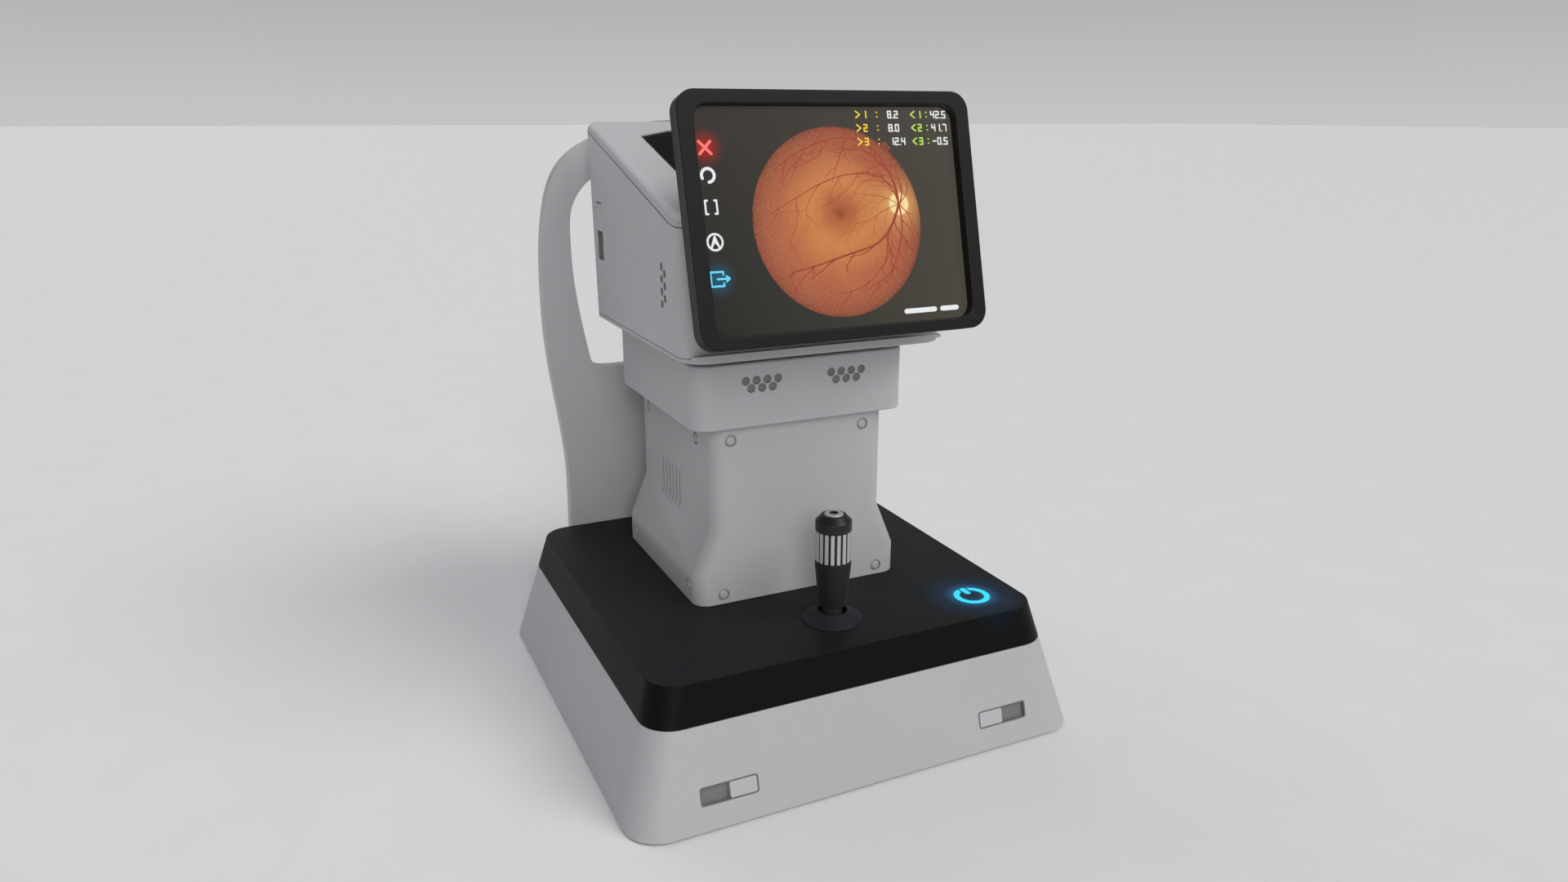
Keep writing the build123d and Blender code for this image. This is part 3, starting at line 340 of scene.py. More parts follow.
WHITE = (0.40, 0.405, 0.415)
BLACK = (0.011, 0.0105, 0.010)
M = {
    "shell": surface("white_moulded_shell", WHITE, 0.44, grain=1300, bump=0.06, spread=0.015, edge=0.01),
    "trim": surface("white_trim", scaled(WHITE, 0.98), 0.42, grain=1300, bump=0.05, spread=0.015, edge=0.01),
    # Caps are a tenth darker than the shell, a painted shade that deepens their grooves, and their edges are
    # lightened more, as wear and painted highlight.
    "cap": surface("screw_cap_plastic", scaled(WHITE, 0.90), 0.46, grain=1300, bump=0.05, spread=0.015,
                   edge=0.10),
    # Dark material for the painted shadow lines in the head's seams.
    "seam": surface("seam_thread", (0.035, 0.036, 0.038), 0.7, grain=2200, bump=0.2, spread=0.1, edge=0.0),
    "vent": surface("vent_floor", scaled(WHITE, 0.32), 0.6, grain=2200, bump=0.3, spread=0.05, edge=0.0),
    "head": surface("white_head_shell", scaled(WHITE, 1.02), 0.42, grain=1300, bump=0.05, spread=0.015,
                    edge=0.01),
    "arch": surface("headrest_shell", scaled(WHITE, 1.01), 0.40, grain=1100, bump=0.05, spread=0.02,
                    edge=0.01),
    "slider": surface("slider_plastic", scaled(WHITE, 1.04), 0.42, grain=1500, bump=0.05, spread=0.02),
    # The deck's mask paints shade on its faces that do not face up.
    "deck": surface("black_satin_deck", (0.0095, 0.0112, 0.0130), 0.50, grain=2200, bump=0.12, spread=0.08,
                    edge=0.006, gloss=0.12, patch=0.05, mask=band_mask),
    "bezel": surface("display_bezel_plastic", (0.0115, 0.0108, 0.0104), 0.44, grain=2000, bump=0.08,
                     spread=0.06, edge=0.008, gloss=0.14, patch=0.05),
    "black": surface("black_plastic", BLACK, 0.42, grain=1800, bump=0.08, spread=0.1, edge=0.02, gloss=0.3),
    "well": surface("well_liner", (0.010, 0.0105, 0.0115), 0.62, grain=900, bump=0.25, spread=0.12,
                    edge=0.01, gloss=0.2),
    "track": surface("switch_track", (0.155, 0.156, 0.160), 0.55, grain=1500, bump=0.12, spread=0.05,
                     edge=0.02, gloss=0.3),
    "cup": surface("speaker_cup", (0.185, 0.187, 0.192), 0.6, grain=2600, bump=0.4, spread=0.1,
                   edge=0.03, gloss=0.2),
    "soft_black": surface("soft_touch_black", (0.0085, 0.0085, 0.009), 0.6, grain=1600, bump=0.2,
                          spread=0.1, sheen=0.05, edge=0.01, gloss=0.25),
    "boot": surface("joystick_boot", (0.011, 0.0125, 0.0165), 0.55, grain=1600, bump=0.15, spread=0.08,
                    edge=0.01, gloss=0.22),
    "rubber": surface("moulded_rubber", (0.018, 0.018, 0.019), 0.8, grain=1200, bump=0.3, spread=0.12,
                      edge=0.01, gloss=0.2),
    "pad": surface("forehead_silicone", (0.085, 0.092, 0.10), 0.6, grain=1500, bump=0.25, spread=0.06,
                   sheen=0.25, edge=0.02, gloss=0.3),
    "sheet_steel": surface("painted_sheet_steel", (0.16, 0.165, 0.17), 0.5, grain=700, bump=0.2,
                           spread=0.08),
    "steel": surface("ground_steel", (0.58, 0.58, 0.59), 0.30, grain=700, bump=0.08, spread=0.05,
                     metal=1.0, stretch=(1, 1, 14)),
    "alloy": surface("machined_alloy", (0.62, 0.63, 0.64), 0.36, grain=600, bump=0.1, spread=0.05,
                     metal=1.0, stretch=(1, 10, 1)),
    "ribs": surface("satin_ribs", (0.42, 0.42, 0.425), 0.38, grain=900, bump=0.06, spread=0.04,
                    metal=0.3, stretch=(6, 6, 1), mask=groove_mask),
    "button": surface("trigger_button", (0.40, 0.41, 0.42), 0.34, grain=900, bump=0.06, spread=0.04,
                      metal=0.3, mask=dimple_mask),
    "motor": surface("motor_enamel", (0.024, 0.025, 0.027), 0.45, grain=900, bump=0.15, spread=0.1,
                     gloss=0.3),
    "board": surface("solder_mask", (0.015, 0.09, 0.04), 0.35, grain=400, bump=0.2, spread=0.2),
    "chin": surface("chin_rest_plastic", scaled(WHITE, 1.06), 0.36, grain=1100, bump=0.04, spread=0.02,
                    edge=0.01),
    "mark": surface("eye_mark_ink", (0.10, 0.11, 0.12), 0.5, grain=1500, bump=0.1, spread=0.05, edge=0.0),
    "infrared": surface("infrared_window", (0.10, 0.008, 0.010), 0.16, grain=300, bump=0.02, spread=0.2),
    "lens": clear("coated_lens", (0.42, 0.55, 0.74), 0.02, 1.52),
    "cyan": glow("touch_key_light", (0.03, 0.62, 0.90), 1.25, rough=0.4),
}
key_low, key_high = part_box("power_light")
key_halo(M["deck"], (key_low.x + key_high.x) / 2 / MM, (key_low.y + key_high.y) / 2 / MM)
SLOT_MATERIALS = {
    "white_shell": "shell", "black_deck": "deck", "black_plastic": "black", "dark_track": "track",
    "rubber": "rubber", "pad_rubber": "pad", "steel_plate": "sheet_steel", "steel": "steel",
    "screw_steel": "steel", "aluminium": "alloy", "motor_black": "motor", "circuit_board": "board",
    "cyan_light": "cyan", "screen": "bezel", "clear_glass": "bezel", "lens_glass": "lens",
    "chin_plastic": "chin", "rib_metal": "ribs",
}
NODE_MATERIALS = {
    "headrest_frame": "arch", "front_switch_left": "slider", "front_switch_right": "slider",
    "side_switch": "slider", "roof_well": "well", "display_bezel": "bezel", "head_shell": "head",
    "head_top_cover": "head", "display_back_cover": "bezel", "joystick_grip": "soft_black",
    "joystick_collar": "boot", "joystick_button": "button", "head_tray": "trim",
}
for subpart in frame["record"]["subparts"]:
    node = subpart["node"]
    chosen = NODE_MATERIALS.get(node, SLOT_MATERIALS[subpart["material_slot"]])
    NODES[node].data.materials.clear()
    NODES[node].data.materials.append(M[chosen])

EDGE_ROUND_MM = {
    "base_housing": 1.4, "top_deck": 1.0, "pillar_shell": 0.8, "lift_sleeve": 0.7, "head_shell": 0.6,
    "head_top_cover": 0.5, "head_tray": 0.6, "headrest_frame": 2.6, "chin_lift_housing": 0.8,
    "chin_rest": 2.2, "display_bezel": 0.5, "display_back_cover": 0.6, "roof_well": 0.4,
    "joystick_collar": 0.3, "joystick_grip": 0.6, "joystick_cap": 0.35, "joystick_dial": 0.25,
    "joystick_button": 0.25, "front_switch_tracks": 0.2, "side_switch_track": 0.2, "side_switch": 0.3,
    "front_switch_left": 0.3, "front_switch_right": 0.3, "optical_barrel": 0.8, "cross_carriage": 0.5,
    "display_bracket": 1.2, "connector_panel": 0.3, "power_inlet": 0.3, "base_plate": 0.4,
    "chin_post": 0.5, "chin_paper_pins": 0.4, "rubber_feet": 0.6,
}
for node, width in EDGE_ROUND_MM.items():
    soften(node, width * MM)

# ------------------------------------------------------------------ screw caps and screw heads
CAP_PROFILE = ((0, 0.30), (2.7, 0.26), (3.15, 0.08), (3.35, -0.35), (3.4, -1.15), (4.35, -1.2), (4.42, -1.5),
               (0, -1.5))
CAP_SEGMENTS = 56
CAP_THICK_MOST = 2.0 * MM
caps = bmesh.new()
for low, high in islands("screw_caps"):
    middle = (low + high) / 2
    if high.y - low.y < CAP_THICK_MOST:
        place = aim((middle.x, low.y, middle.z), (0, -1, 0))
    else:
        side = 1 if middle.x > 0 else -1
        place = aim((high.x if side > 0 else low.x, middle.y, middle.z), (side, 0, 0))
    turned(caps, CAP_PROFILE, place, CAP_SEGMENTS)
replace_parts(new_object("grooved_screw_caps", caps, "base", M["cap"]), "screw_caps")


def screw_profile(radius, height, socket):
    """A pan head with a six-sided socket."""
    return ((0, 0), (radius, 0), (radius, height * 0.45), (radius * 0.86, height * 0.85),
            (radius * 0.66, height), (socket + 0.25, height), (socket, height - 0.25),
            (socket * 0.97, height * 0.25), (0, height * 0.25))


LONG_SCREW_LEAST = 12.0 * MM
PLATE_HEAD = 2.8
FOOT_HEAD = 1.4
SOCKET_ROWS = (6, 7)
screws = bmesh.new()
for low, high in islands("machine_screws"):
    middle = (low + high) / 2
    radius = (high.x - low.x) / 2 / MM
    if high.y - low.y > LONG_SCREW_LEAST:
        place = aim((middle.x, high.y - PLATE_HEAD * MM, middle.z), (0, 1, 0))
        turned(screws, screw_profile(radius, PLATE_HEAD, 2.3), place, 48, SOCKET_ROWS)
    else:
        place = aim((middle.x, middle.y, low.z + FOOT_HEAD * MM), (0, 0, -1))
        turned(screws, screw_profile(radius, FOOT_HEAD, 2.2), place, 48, SOCKET_ROWS)
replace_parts(new_object("socket_screw_heads", screws, "base", M["steel"]), "machine_screws")

# ------------------------------------------------------------------ speaker cups in the blind holes
CUP_PROFILE = ((0, -0.80), (0.55, -0.90), (0.9, -1.30), (2.1, -1.30), (2.4, -0.95), (2.5, -0.22),
               (2.66, -0.08), (2.70, -1.55), (0, -1.55))


def slot_outline(half_wide, shift, steps):
    """Points in millimetres on an upright slot with round ends, shift above and below its middle."""
    points = []
    for k in range(steps):
        angle = 2 * math.pi * k / steps
        end = shift if math.sin(angle) > 0 else -shift
        points.append((half_wide * math.cos(angle), half_wide * math.sin(angle) + end))
    return points


def cups(name, body, spots, spread=1.0):
    """Dished cups with a small boss; spread widens them about their axes."""
    bm = bmesh.new()
    profile = [(radius * spread, depth) for radius, depth in CUP_PROFILE]
    for position, normal in spots:
        turned(bm, profile, aim(position, normal), 32)
    return new_object(name, bm, body, M["cup"])


FRONT_GRILLE_X = 34.4 * MM
FRONT_GRILLE_DOWN = 16.1 * MM
FRONT_PITCH = 8.5 * MM
SIDE_GRILLE_Z = 341.9 * MM
SIDE_GRILLE_IN = 36.1 * MM
SIDE_PITCH = 8.55 * MM
HALF_ROW = 2.9 * MM
FRONT_SPREAD = 3.1 / 2.7


def grille_offsets(pitch):
    """Offsets of seven cups, four over three, along and across a grille."""
    offsets = [(pitch * (i - 1.5), HALF_ROW) for i in range(4)]
    return offsets + [(pitch * (i - 1.0), -HALF_ROW) for i in range(3)]


sleeve_low, sleeve_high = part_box("lift_sleeve")
front_z = sleeve_high.z - FRONT_GRILLE_DOWN
front_spots = [((middle + along, sleeve_low.y, front_z + across), (0, -1, 0))
               for middle in (-FRONT_GRILLE_X, FRONT_GRILLE_X)
               for along, across in grille_offsets(FRONT_PITCH)]
cups("sleeve_speaker_cups", "lift", front_spots, FRONT_SPREAD)

head_low, head_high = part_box("head_shell")
side_y = head_low.y + SIDE_GRILLE_IN
side_spots = [((x, side_y + across, SIDE_GRILLE_Z + along), (side, 0, 0))
              for x, side in ((head_low.x, -1), (head_high.x, 1))
              for along, across in grille_offsets(SIDE_PITCH)]
cups("head_speaker_cups", "head", side_spots)

# ------------------------------------------------------------------ painted shadow: dark threads in the head's two seams
SEAM_RADIUS = 0.26 * MM
SEAM_SINK = 0.16 * MM
SEAM_OVERLAP = 0.3
WALL_SLANT = 0.35
FLOOR_SLANT = -0.6
SHORTEST = 1e-4


def seam_thread(name, node):
    """A dark thread of painted shadow along the lower outline of a CAD node's outer walls."""
    outline = bmesh.new()
    outline.from_mesh(NODES[node].data)
    bmesh.ops.remove_doubles(outline, verts=outline.verts, dist=1e-5)
    outline.normal_update()
    low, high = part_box(node)
    middle = (low + high) / 2
    thread = bmesh.new()
    for edge in outline.edges:
        walls = [face for face in edge.link_faces if abs(face.normal.z) < WALL_SLANT]
        floors = [face for face in edge.link_faces if face.normal.z < FLOOR_SLANT]
        if not walls or not floors:
            continue
        start, end = (vert.co - walls[0].normal * SEAM_SINK for vert in edge.verts)
        outward = (start + end) / 2 - middle
        outward.z = 0
        if outward.dot(walls[0].normal) <= 0 or (end - start).length < SHORTEST:
            continue
        along = (end - start).normalized()
        place = aim(start - along * SEAM_RADIUS * SEAM_OVERLAP, along, walls[0].normal)
        length = (end - start).length / MM + 2 * SEAM_OVERLAP * SEAM_RADIUS / MM
        radius = SEAM_RADIUS / MM
        turned(thread, ((0, 0), (radius, 0), (radius, length), (0, length)), place, 8)
    outline.free()
    return new_object(name, thread, "head", M["seam"])


seam_thread("cover_seam_shadow_line", "head_top_cover")
seam_thread("tray_seam_shadow_line", "head_shell")

# ------------------------------------------------------------------ floors of the pillar's vent slots
pillar_low, pillar_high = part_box("pillar_shell")
VENT_Y = pillar_low.y + 93.7 * MM
VENT_Z = pillar_high.z - 94.4 * MM
VENT_X = (pillar_low.x + pillar_high.x) / 2
VENT_FLOOR = 70.45 * MM
VENT_COUNT = 6
VENT_PITCH = 7.7 * MM
VENT_STEPS = 20
FLOOR_THICK = 0.12 * MM
floors = bmesh.new()
for side in (-1, 1):
    for i in range(VENT_COUNT):
        y = VENT_Y + (i - (VENT_COUNT - 1) / 2) * VENT_PITCH
        rims = [[floors.verts.new((VENT_X + side * (VENT_FLOOR + lift), y + a * MM, VENT_Z + b * MM))
                 for a, b in slot_outline(1.55, 14.4, VENT_STEPS)]
                for lift in (0.0, FLOOR_THICK)]
        for k in range(VENT_STEPS):
            m = (k + 1) % VENT_STEPS
            floors.faces.new((rims[0][k], rims[0][m], rims[1][m], rims[1][k]))
        floors.faces.new(rims[0])
        floors.faces.new(rims[1])
new_object("pillar_vent_floors", floors, "base", M["vent"], smooth=False)

# ------------------------------------------------------------------ patient side
pad_low, pad_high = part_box("forehead_pad")
pad_half = (pad_high.x - pad_low.x) / 2
pad_thick = pad_high.y - pad_low.y
pad_tall = (pad_high.z - pad_low.z) / 2
pad_z = (pad_low.z + pad_high.z) / 2
ALONG = 72
AROUND = 26
CHANNELS_MM = (-36, -18, 0, 18, 36)
CHANNEL_DEEP = 0.75 * MM
CHANNEL_WIDE_MM = 1.3
pad = bmesh.new()
rows = []
for i in range(ALONG + 1):
    u = -math.cos(math.pi * i / ALONG)
    end = max(0.0, 1 - abs(u) ** 7) ** 0.5
    ring = []
    for j in range(AROUND + 1):
        angle = math.pi * j / AROUND
        crown = max(0.0, math.sin(angle)) ** 0.55 * end ** 0.8
        across = u * pad_half / MM
        channel = sum(math.exp(-((across - x) / CHANNEL_WIDE_MM) ** 2) for x in CHANNELS_MM)
        depth = pad_thick * crown - CHANNEL_DEEP * channel * math.sin(angle)
        ring.append(pad.verts.new((u * pad_half, pad_low.y + max(depth, 0.0),
                                   pad_z - pad_tall * math.cos(angle) * max(end, 0.02))))
    rows.append(ring)
for a, b in zip(rows, rows[1:]):
    for j in range(AROUND):
        pad.faces.new((a[j], b[j], b[j + 1], a[j + 1]))
    pad.faces.new((a[0], a[AROUND], b[AROUND], b[0]))
pad.faces.new(rows[0])
pad.faces.new(rows[-1])
pad_piece = new_object("forehead_pad_moulded", pad, "base", M["pad"])
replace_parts(pad_piece, "forehead_pad")

barrel_low, barrel_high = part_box("optical_barrel")
barrel_x = (barrel_low.x + barrel_high.x) / 2
barrel_z = (barrel_low.z + barrel_high.z) / 2
BARREL = aim((barrel_x, barrel_high.y, barrel_z), (0, 1, 0))
LENS_RADIUS = 21.8
LENS_THICK = 3.9
LENS_CROWN = 2.6
LENS_STEPS = 14
lens_back = (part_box("objective_lens")[0].y - barrel_high.y) / MM
lens = bmesh.new()
lens_profile = [(0, lens_back), (LENS_RADIUS, lens_back)]
lens_profile += [(LENS_RADIUS - LENS_RADIUS * i / LENS_STEPS,
                  lens_back + LENS_THICK - LENS_CROWN * (1 - i / LENS_STEPS) ** 2)
                 for i in range(LENS_STEPS + 1)]
turned(lens, lens_profile, BARREL, 64)
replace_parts(new_object("objective_crown_glass", lens, "head", M["lens"]), "objective_lens")

retainer = bmesh.new()
turned(retainer, ((21.9, -1.0), (21.9, -6.0), (18.6, -6.0), (18.2, -5.2), (18.9, -4.9), (19.1, -4.2),
                  (19.8, -3.9), (20.0, -3.1), (20.7, -2.8), (20.9, -1.6), (21.5, -1.0), (21.9, -1.0)),
       BARREL, 72)
new_object("lens_retaining_ring", retainer, "head", M["black"])

DOT_COUNT = 8
DOT_CIRCLE = 24.5 * MM
dots = bmesh.new()
for i in range(DOT_COUNT):
    angle = 2 * math.pi * (i + 0.5) / DOT_COUNT
    spot = BARREL @ Matrix.Translation((DOT_CIRCLE * math.cos(angle), DOT_CIRCLE * math.sin(angle), 0))
    turned(dots, ((0, 0.55), (0.5, 0.45), (0.9, 0.1), (1.05, -0.4), (0, -0.4)), spot, 20)
new_object("ring_illuminators", dots, "head", M["infrared"])

MARK_X = 123.6 * MM
MARK_DEEP = 0.3 * MM
MARK_TALL = 0.7 * MM
arch_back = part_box("headrest_frame")[1].y
marks = bmesh.new()
for side in (-1, 1):
    for rise, wide in ((-2.2, 8.0), (0, 14.0), (2.2, 8.0)):
        spot = Vector((side * MARK_X, arch_back, barrel_z + rise * MM))
        bmesh.ops.create_cube(marks, size=1.0, matrix=Matrix.Translation(spot)
                              @ Matrix.Diagonal((wide * MM, MARK_DEEP, MARK_TALL, 1)))
bevel(new_object("eye_level_marks", marks, "base", M["mark"]), 0.1 * MM, 2)

# ------------------------------------------------------------------ back of the display
TILT = math.radians(14.456)
NORMAL = Vector((0, -math.cos(TILT), math.sin(TILT)))
UP = Vector((0, math.sin(TILT), math.cos(TILT)))
glass_low, glass_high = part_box("display_glass")
glass_middle = (glass_low + glass_high) / 2
GLASS_HALF_THICK = 0.6 * MM
BACK_BEHIND_GLASS = 5.9 * MM
SCREEN = aim(glass_middle + NORMAL * GLASS_HALF_THICK, NORMAL)
back_middle = glass_middle - NORMAL * BACK_BEHIND_GLASS

COVER_SCREW_PROFILE = ((0, -0.4), (3.4, -0.4), (3.4, 0.5), (3.1, 0.8), (2.7, 0.8), (2.5, 0.35), (1.9, 0.35),
                       (1.2, 0.7), (0.85, 0.7), (0.8, -0.2), (0, -0.2))
cover_screws = bmesh.new()
for x in (-94, 94):
    for y in (-68, 68):
        spot = back_middle + Vector((x * MM, 0, 0)) + UP * y * MM
        turned(cover_screws, COVER_SCREW_PROFILE, aim(spot, -NORMAL), 36, (8, 9))
new_object("back_cover_screws", cover_screws, "display", M["motor"])

BACK_VENT_COUNT = 15
BACK_VENT_PITCH = 7.0 * MM
BACK_VENT_DOWN = 34 * MM
BACK_VENT_PROUD = 0.05 * MM
BACK_VENT_HALF = 1.5
BACK_VENT_SHIFT = 9.0
BACK_VENT_STEPS = 24
BACK_VENT_RIMS = ((1.35, -0.4), (1.35, 0.5), (1.15, 0.7), (0.8, 0.35), (0.75, -0.3))
vents = bmesh.new()
for i in range(BACK_VENT_COUNT):
    spot = back_middle + Vector(((i - (BACK_VENT_COUNT - 1) / 2) * BACK_VENT_PITCH, 0, 0))
    slot = aim(spot - UP * BACK_VENT_DOWN - NORMAL * BACK_VENT_PROUD, -NORMAL)
    rims = []
    for grow, height in BACK_VENT_RIMS:
        outline = slot_outline(BACK_VENT_HALF * grow, BACK_VENT_SHIFT, BACK_VENT_STEPS)
        rims.append([vents.verts.new(slot @ (Vector((x, y, height)) * MM)) for x, y in outline])
    for a, b in zip(rims, rims[1:]):
        for k in range(BACK_VENT_STEPS):
            m = (k + 1) % BACK_VENT_STEPS
            vents.faces.new((a[k], a[m], b[m], b[k]))
    vents.faces.new(rims[0])
    vents.faces.new(rims[-1])
new_object("back_cover_vents", vents, "display", M["bezel"])


# ------------------------------------------------------------------ display picture
def inlay(name, bm, mat, lift_mm):
    """Lay a flat piece, drawn in local XY, just above the glass."""
    obj = new_object(name, bm, None, mat, smooth=False)
    obj.matrix_world = SCREEN @ Matrix.Translation((0, 0, lift_mm * MM))
    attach(obj, "display")
    return obj


def stroke(bm, points, width):
    """A flat ribbon with round ends along a line of (x, y) points in millimetres."""
    half = width / 2
    for (x0, y0), (x1, y1) in zip(points, points[1:]):
        length = math.hypot(x1 - x0, y1 - y0)
        nx = -(y1 - y0) / length * half
        ny = (x1 - x0) / length * half
        corners = ((x0 + nx, y0 + ny), (x0 - nx, y0 - ny), (x1 - nx, y1 - ny), (x1 + nx, y1 + ny))
        bm.faces.new([bm.verts.new((x * MM, y * MM, 0)) for x, y in corners])
    for x, y in points:
        bm.faces.new([bm.verts.new((a * MM, b * MM, 0)) for a, b in arc(x, y, half, 0, 324, 9)])


def arc(cx, cy, radius, start, end, steps=20):
    """Points on an arc, in degrees."""
    turn = [math.radians(start + (end - start) * i / steps) for i in range(steps + 1)]
    return [(cx + radius * math.cos(a), cy + radius * math.sin(a)) for a in turn]


def symbol(name, lines, width, colour, strength=1.0, lift=0.15):
    """One flat lit symbol made of several strokes."""
    bm = bmesh.new()
    for points in lines:
        stroke(bm, points, width)
    return inlay(name, bm, glow(name + "_light", colour, strength), lift)


RED = (1.0, 0.20, 0.17)
CYAN = (0.13, 0.62, 0.86)
PALE = (0.80, 0.82, 0.83)
YELLOW = (0.88, 0.62, 0.05)
GREEN = (0.45, 0.78, 0.10)
ICON_X = -88.5
ICON_HALO = 0.014
CROSS_Y = 46.6
RING_Y = 29.3
BRACKET_Y = 9.4
POINTER_Y = -12.5
EXIT_Y = -35.8


def screen_glass():
    """The bonded glass: a warm grey backlight, lighter to the right, and soft halos round two symbols."""
    mat, tree, shader = material("bonded_screen_glass")
    split = tree.nodes.new("ShaderNodeSeparateXYZ")
    tree.links.new(object_coords(tree), split.inputs[0])
    across = calc(tree, "MULTIPLY_ADD", split.outputs[0], 5.2, 0.5)
    tint = ramp(tree, across, [(0.0, (0.018, 0.018, 0.015)), (0.55, (0.041, 0.038, 0.030)),
                               (1.0, (0.064, 0.057, 0.042))])
    height = calc(tree, "MULTIPLY_ADD", split.outputs[2], 6.6, -2.07)
    lit = mix(tree, calc(tree, "MULTIPLY", height, 0.35), tint, (0.074, 0.060, 0.054))
    for icon_y, colour in ((CROSS_Y, (0.42, 0.015, 0.012)), (EXIT_Y, (0.012, 0.11, 0.17))):
        spot = SCREEN @ Vector((ICON_X * MM, icon_y * MM, 0))
        reach = tree.nodes.new("ShaderNodeVectorMath")
        reach.operation = "DISTANCE"
        reach.inputs[1].default_value = spot
        tree.links.new(object_coords(tree), reach.inputs[0])
        near = ramp(tree, calc(tree, "MULTIPLY", reach.outputs["Value"], 1 / ICON_HALO),
                    [(0.0, 1.0), (0.45, 0.42), (0.75, 0.10), (1.0, 0.0)])
        lit = mix(tree, near, lit, colour)
    shader.inputs["Base Color"].default_value = (0.006, 0.006, 0.006, 1)
    shader.inputs["Specular IOR Level"].default_value = 0.22
    polish = ramp(tree, noise(tree, 30.0, 4.0), [(0.3, 0.12), (0.7, 0.17)])
    tree.links.new(polish, shader.inputs["Roughness"])
    shader.inputs["Emission Strength"].default_value = 1.0
    tree.links.new(lit, shader.inputs["Emission Color"])
    return mat


NODES["display_glass"].data.materials[0] = screen_glass()

# The retina: a round picture with a dark macula, a bright nerve head and branching vessels
EYE_RADIUS = 62.8
EYE = (1.6, -3.4)
NERVE = (48.6, 7.1)
MACULA = (2.6, 2.3)


def retina_material():
    """The picture's colours: a shaded field, golden round the macula and bright round the nerve head."""
    mat, tree, shader = material("retina_picture")
    out = calc(tree, "DIVIDE", distance_mm(tree, *EYE), EYE_RADIUS)
    field = ramp(tree, out, [(0.0, (0.52, 0.175, 0.058)), (0.40, (0.49, 0.150, 0.056)),
                             (0.66, (0.42, 0.125, 0.060)), (0.86, (0.33, 0.098, 0.056)),
                             (0.96, (0.24, 0.068, 0.043)), (1.0, (0.14, 0.040, 0.028))])
    fine = ramp(tree, noise(tree, 520.0, 4.0), [(0.36, 0.0), (0.70, 0.22)])
    mottled = mix(tree, fine, field, (0.66, 0.28, 0.085))
    shades = ramp(tree, noise(tree, 46.0, 5.0), [(0.36, 0.30), (0.58, 0.0)])
    mottled = mix(tree, shades, mottled, (0.36, 0.080, 0.045))
    ring = calc(tree, "DIVIDE", distance_mm(tree, *MACULA), 44.0)
    golden = ramp(tree, ring, [(0.26, 0.0), (0.48, 0.52), (0.72, 0.30), (1.0, 0.0)])
    warm = mix(tree, golden, mottled, (0.64, 0.275, 0.088))
    centre = ramp(tree, ring, [(0.0, 0.88), (0.05, 0.70), (0.14, 0.38), (0.34, 0.0)])
    dark = mix(tree, centre, warm, (0.25, 0.050, 0.022))
    near = calc(tree, "DIVIDE", distance_mm(tree, *NERVE), 26.0)
    halo = ramp(tree, near, [(0.16, 0.85), (0.34, 0.42), (0.62, 0.16), (1.0, 0.0)])
    bright = mix(tree, halo, dark, (0.86, 0.52, 0.17))
    core = ramp(tree, near, [(0.0, 0.35), (0.10, 0.70), (0.22, 1.0), (0.26, 0.95), (0.31, 0.0)])
    nerve = mix(tree, core, bright, (0.92, 0.74, 0.36))
    shader.inputs["Base Color"].default_value = (0.02, 0.008, 0.005, 1)
    shader.inputs["Roughness"].default_value = 0.16
    shader.inputs["Specular IOR Level"].default_value = 0.22
    shader.inputs["Emission Strength"].default_value = 1.0
    tree.links.new(nerve, shader.inputs["Emission Color"])
    return mat


disc = bmesh.new()
disc.faces.new([disc.verts.new((x * MM, y * MM, 0)) for x, y in arc(*EYE, EYE_RADIUS, 0, 358.5, 239)])
# The small tab on the rim that shows which way up the picture is
tab = ((36.5, 49.0), (40.0, 53.0), (45.0, 48.5), (41.5, 44.5))
disc.faces.new([disc.verts.new(((EYE[0] + x) * MM, (EYE[1] + y) * MM, 0)) for x, y in tab])
inlay("retina_picture", disc, retina_material(), 0.06)


def smooth_line(controls, steps):
    """A smooth line through its control points (Catmull-Rom)."""
    ends = [controls[0]] + list(controls) + [controls[-1]]
    points = []
    for p0, p1, p2, p3 in zip(ends, ends[1:], ends[2:], ends[3:]):
        for i in range(steps):
            t = i / steps
            points.append(tuple(0.5 * (2 * b + (c - a) * t + (2 * a - 5 * b + 4 * c - d) * t * t
                                       + (3 * b - a - 3 * c + d) * t ** 3)
                                for a, b, c, d in zip(p0, p1, p2, p3)))
    points.append(tuple(controls[-1]))
    return points


def vessel(bm, points, width_start, width_end):
    """A flat vessel that narrows along its length."""
    edge = []
    for i, (x, y) in enumerate(points):
        ahead = points[min(i + 1, len(points) - 1)]
        behind = points[max(i - 1, 0)]
        dx = ahead[0] - behind[0]
        dy = ahead[1] - behind[1]
        length = max(math.hypot(dx, dy), 1e-6)
        half = (width_start + (width_end - width_start) * i / (len(points) - 1)) / 2
        edge.append((bm.verts.new(((x - dy / length * half) * MM, (y + dx / length * half) * MM, 0)),
                     bm.verts.new(((x + dy / length * half) * MM, (y - dx / length * half) * MM, 0))))
    for (a, b), (c, d) in zip(edge, edge[1:]):
        bm.faces.new((a, b, d, c))


def inside_eye(x, y):
    """Whether a point lies within the picture, a millimetre from its rim."""
    return math.hypot(x - EYE[0], y - EYE[1]) < EYE_RADIUS - 1.0


def branch(bm, dice, x, y, heading, width, length, depth):
    """A wandering vessel with side branches, kept inside the picture and clear of the macula."""
    points = [(x, y)]
    for _ in range(max(4, int(length / 2.0))):
        heading += dice.uniform(-0.2, 0.2)
        x += 2.0 * math.cos(heading)
        y += 2.0 * math.sin(heading)
        if not inside_eye(x, y) or math.hypot(x - MACULA[0], y - MACULA[1]) < 8:
            break
        points.append((x, y))
        if depth and dice.random() < 0.15:
            turn = dice.choice((-1, 1)) * dice.uniform(0.5, 1.0)
            branch(bm, dice, x, y, heading + turn, width * 0.6, length * dice.uniform(0.35, 0.6), depth - 1)
    if len(points) > 2:
        vessel(bm, points, width, width * 0.35)


dice = random.Random(11)
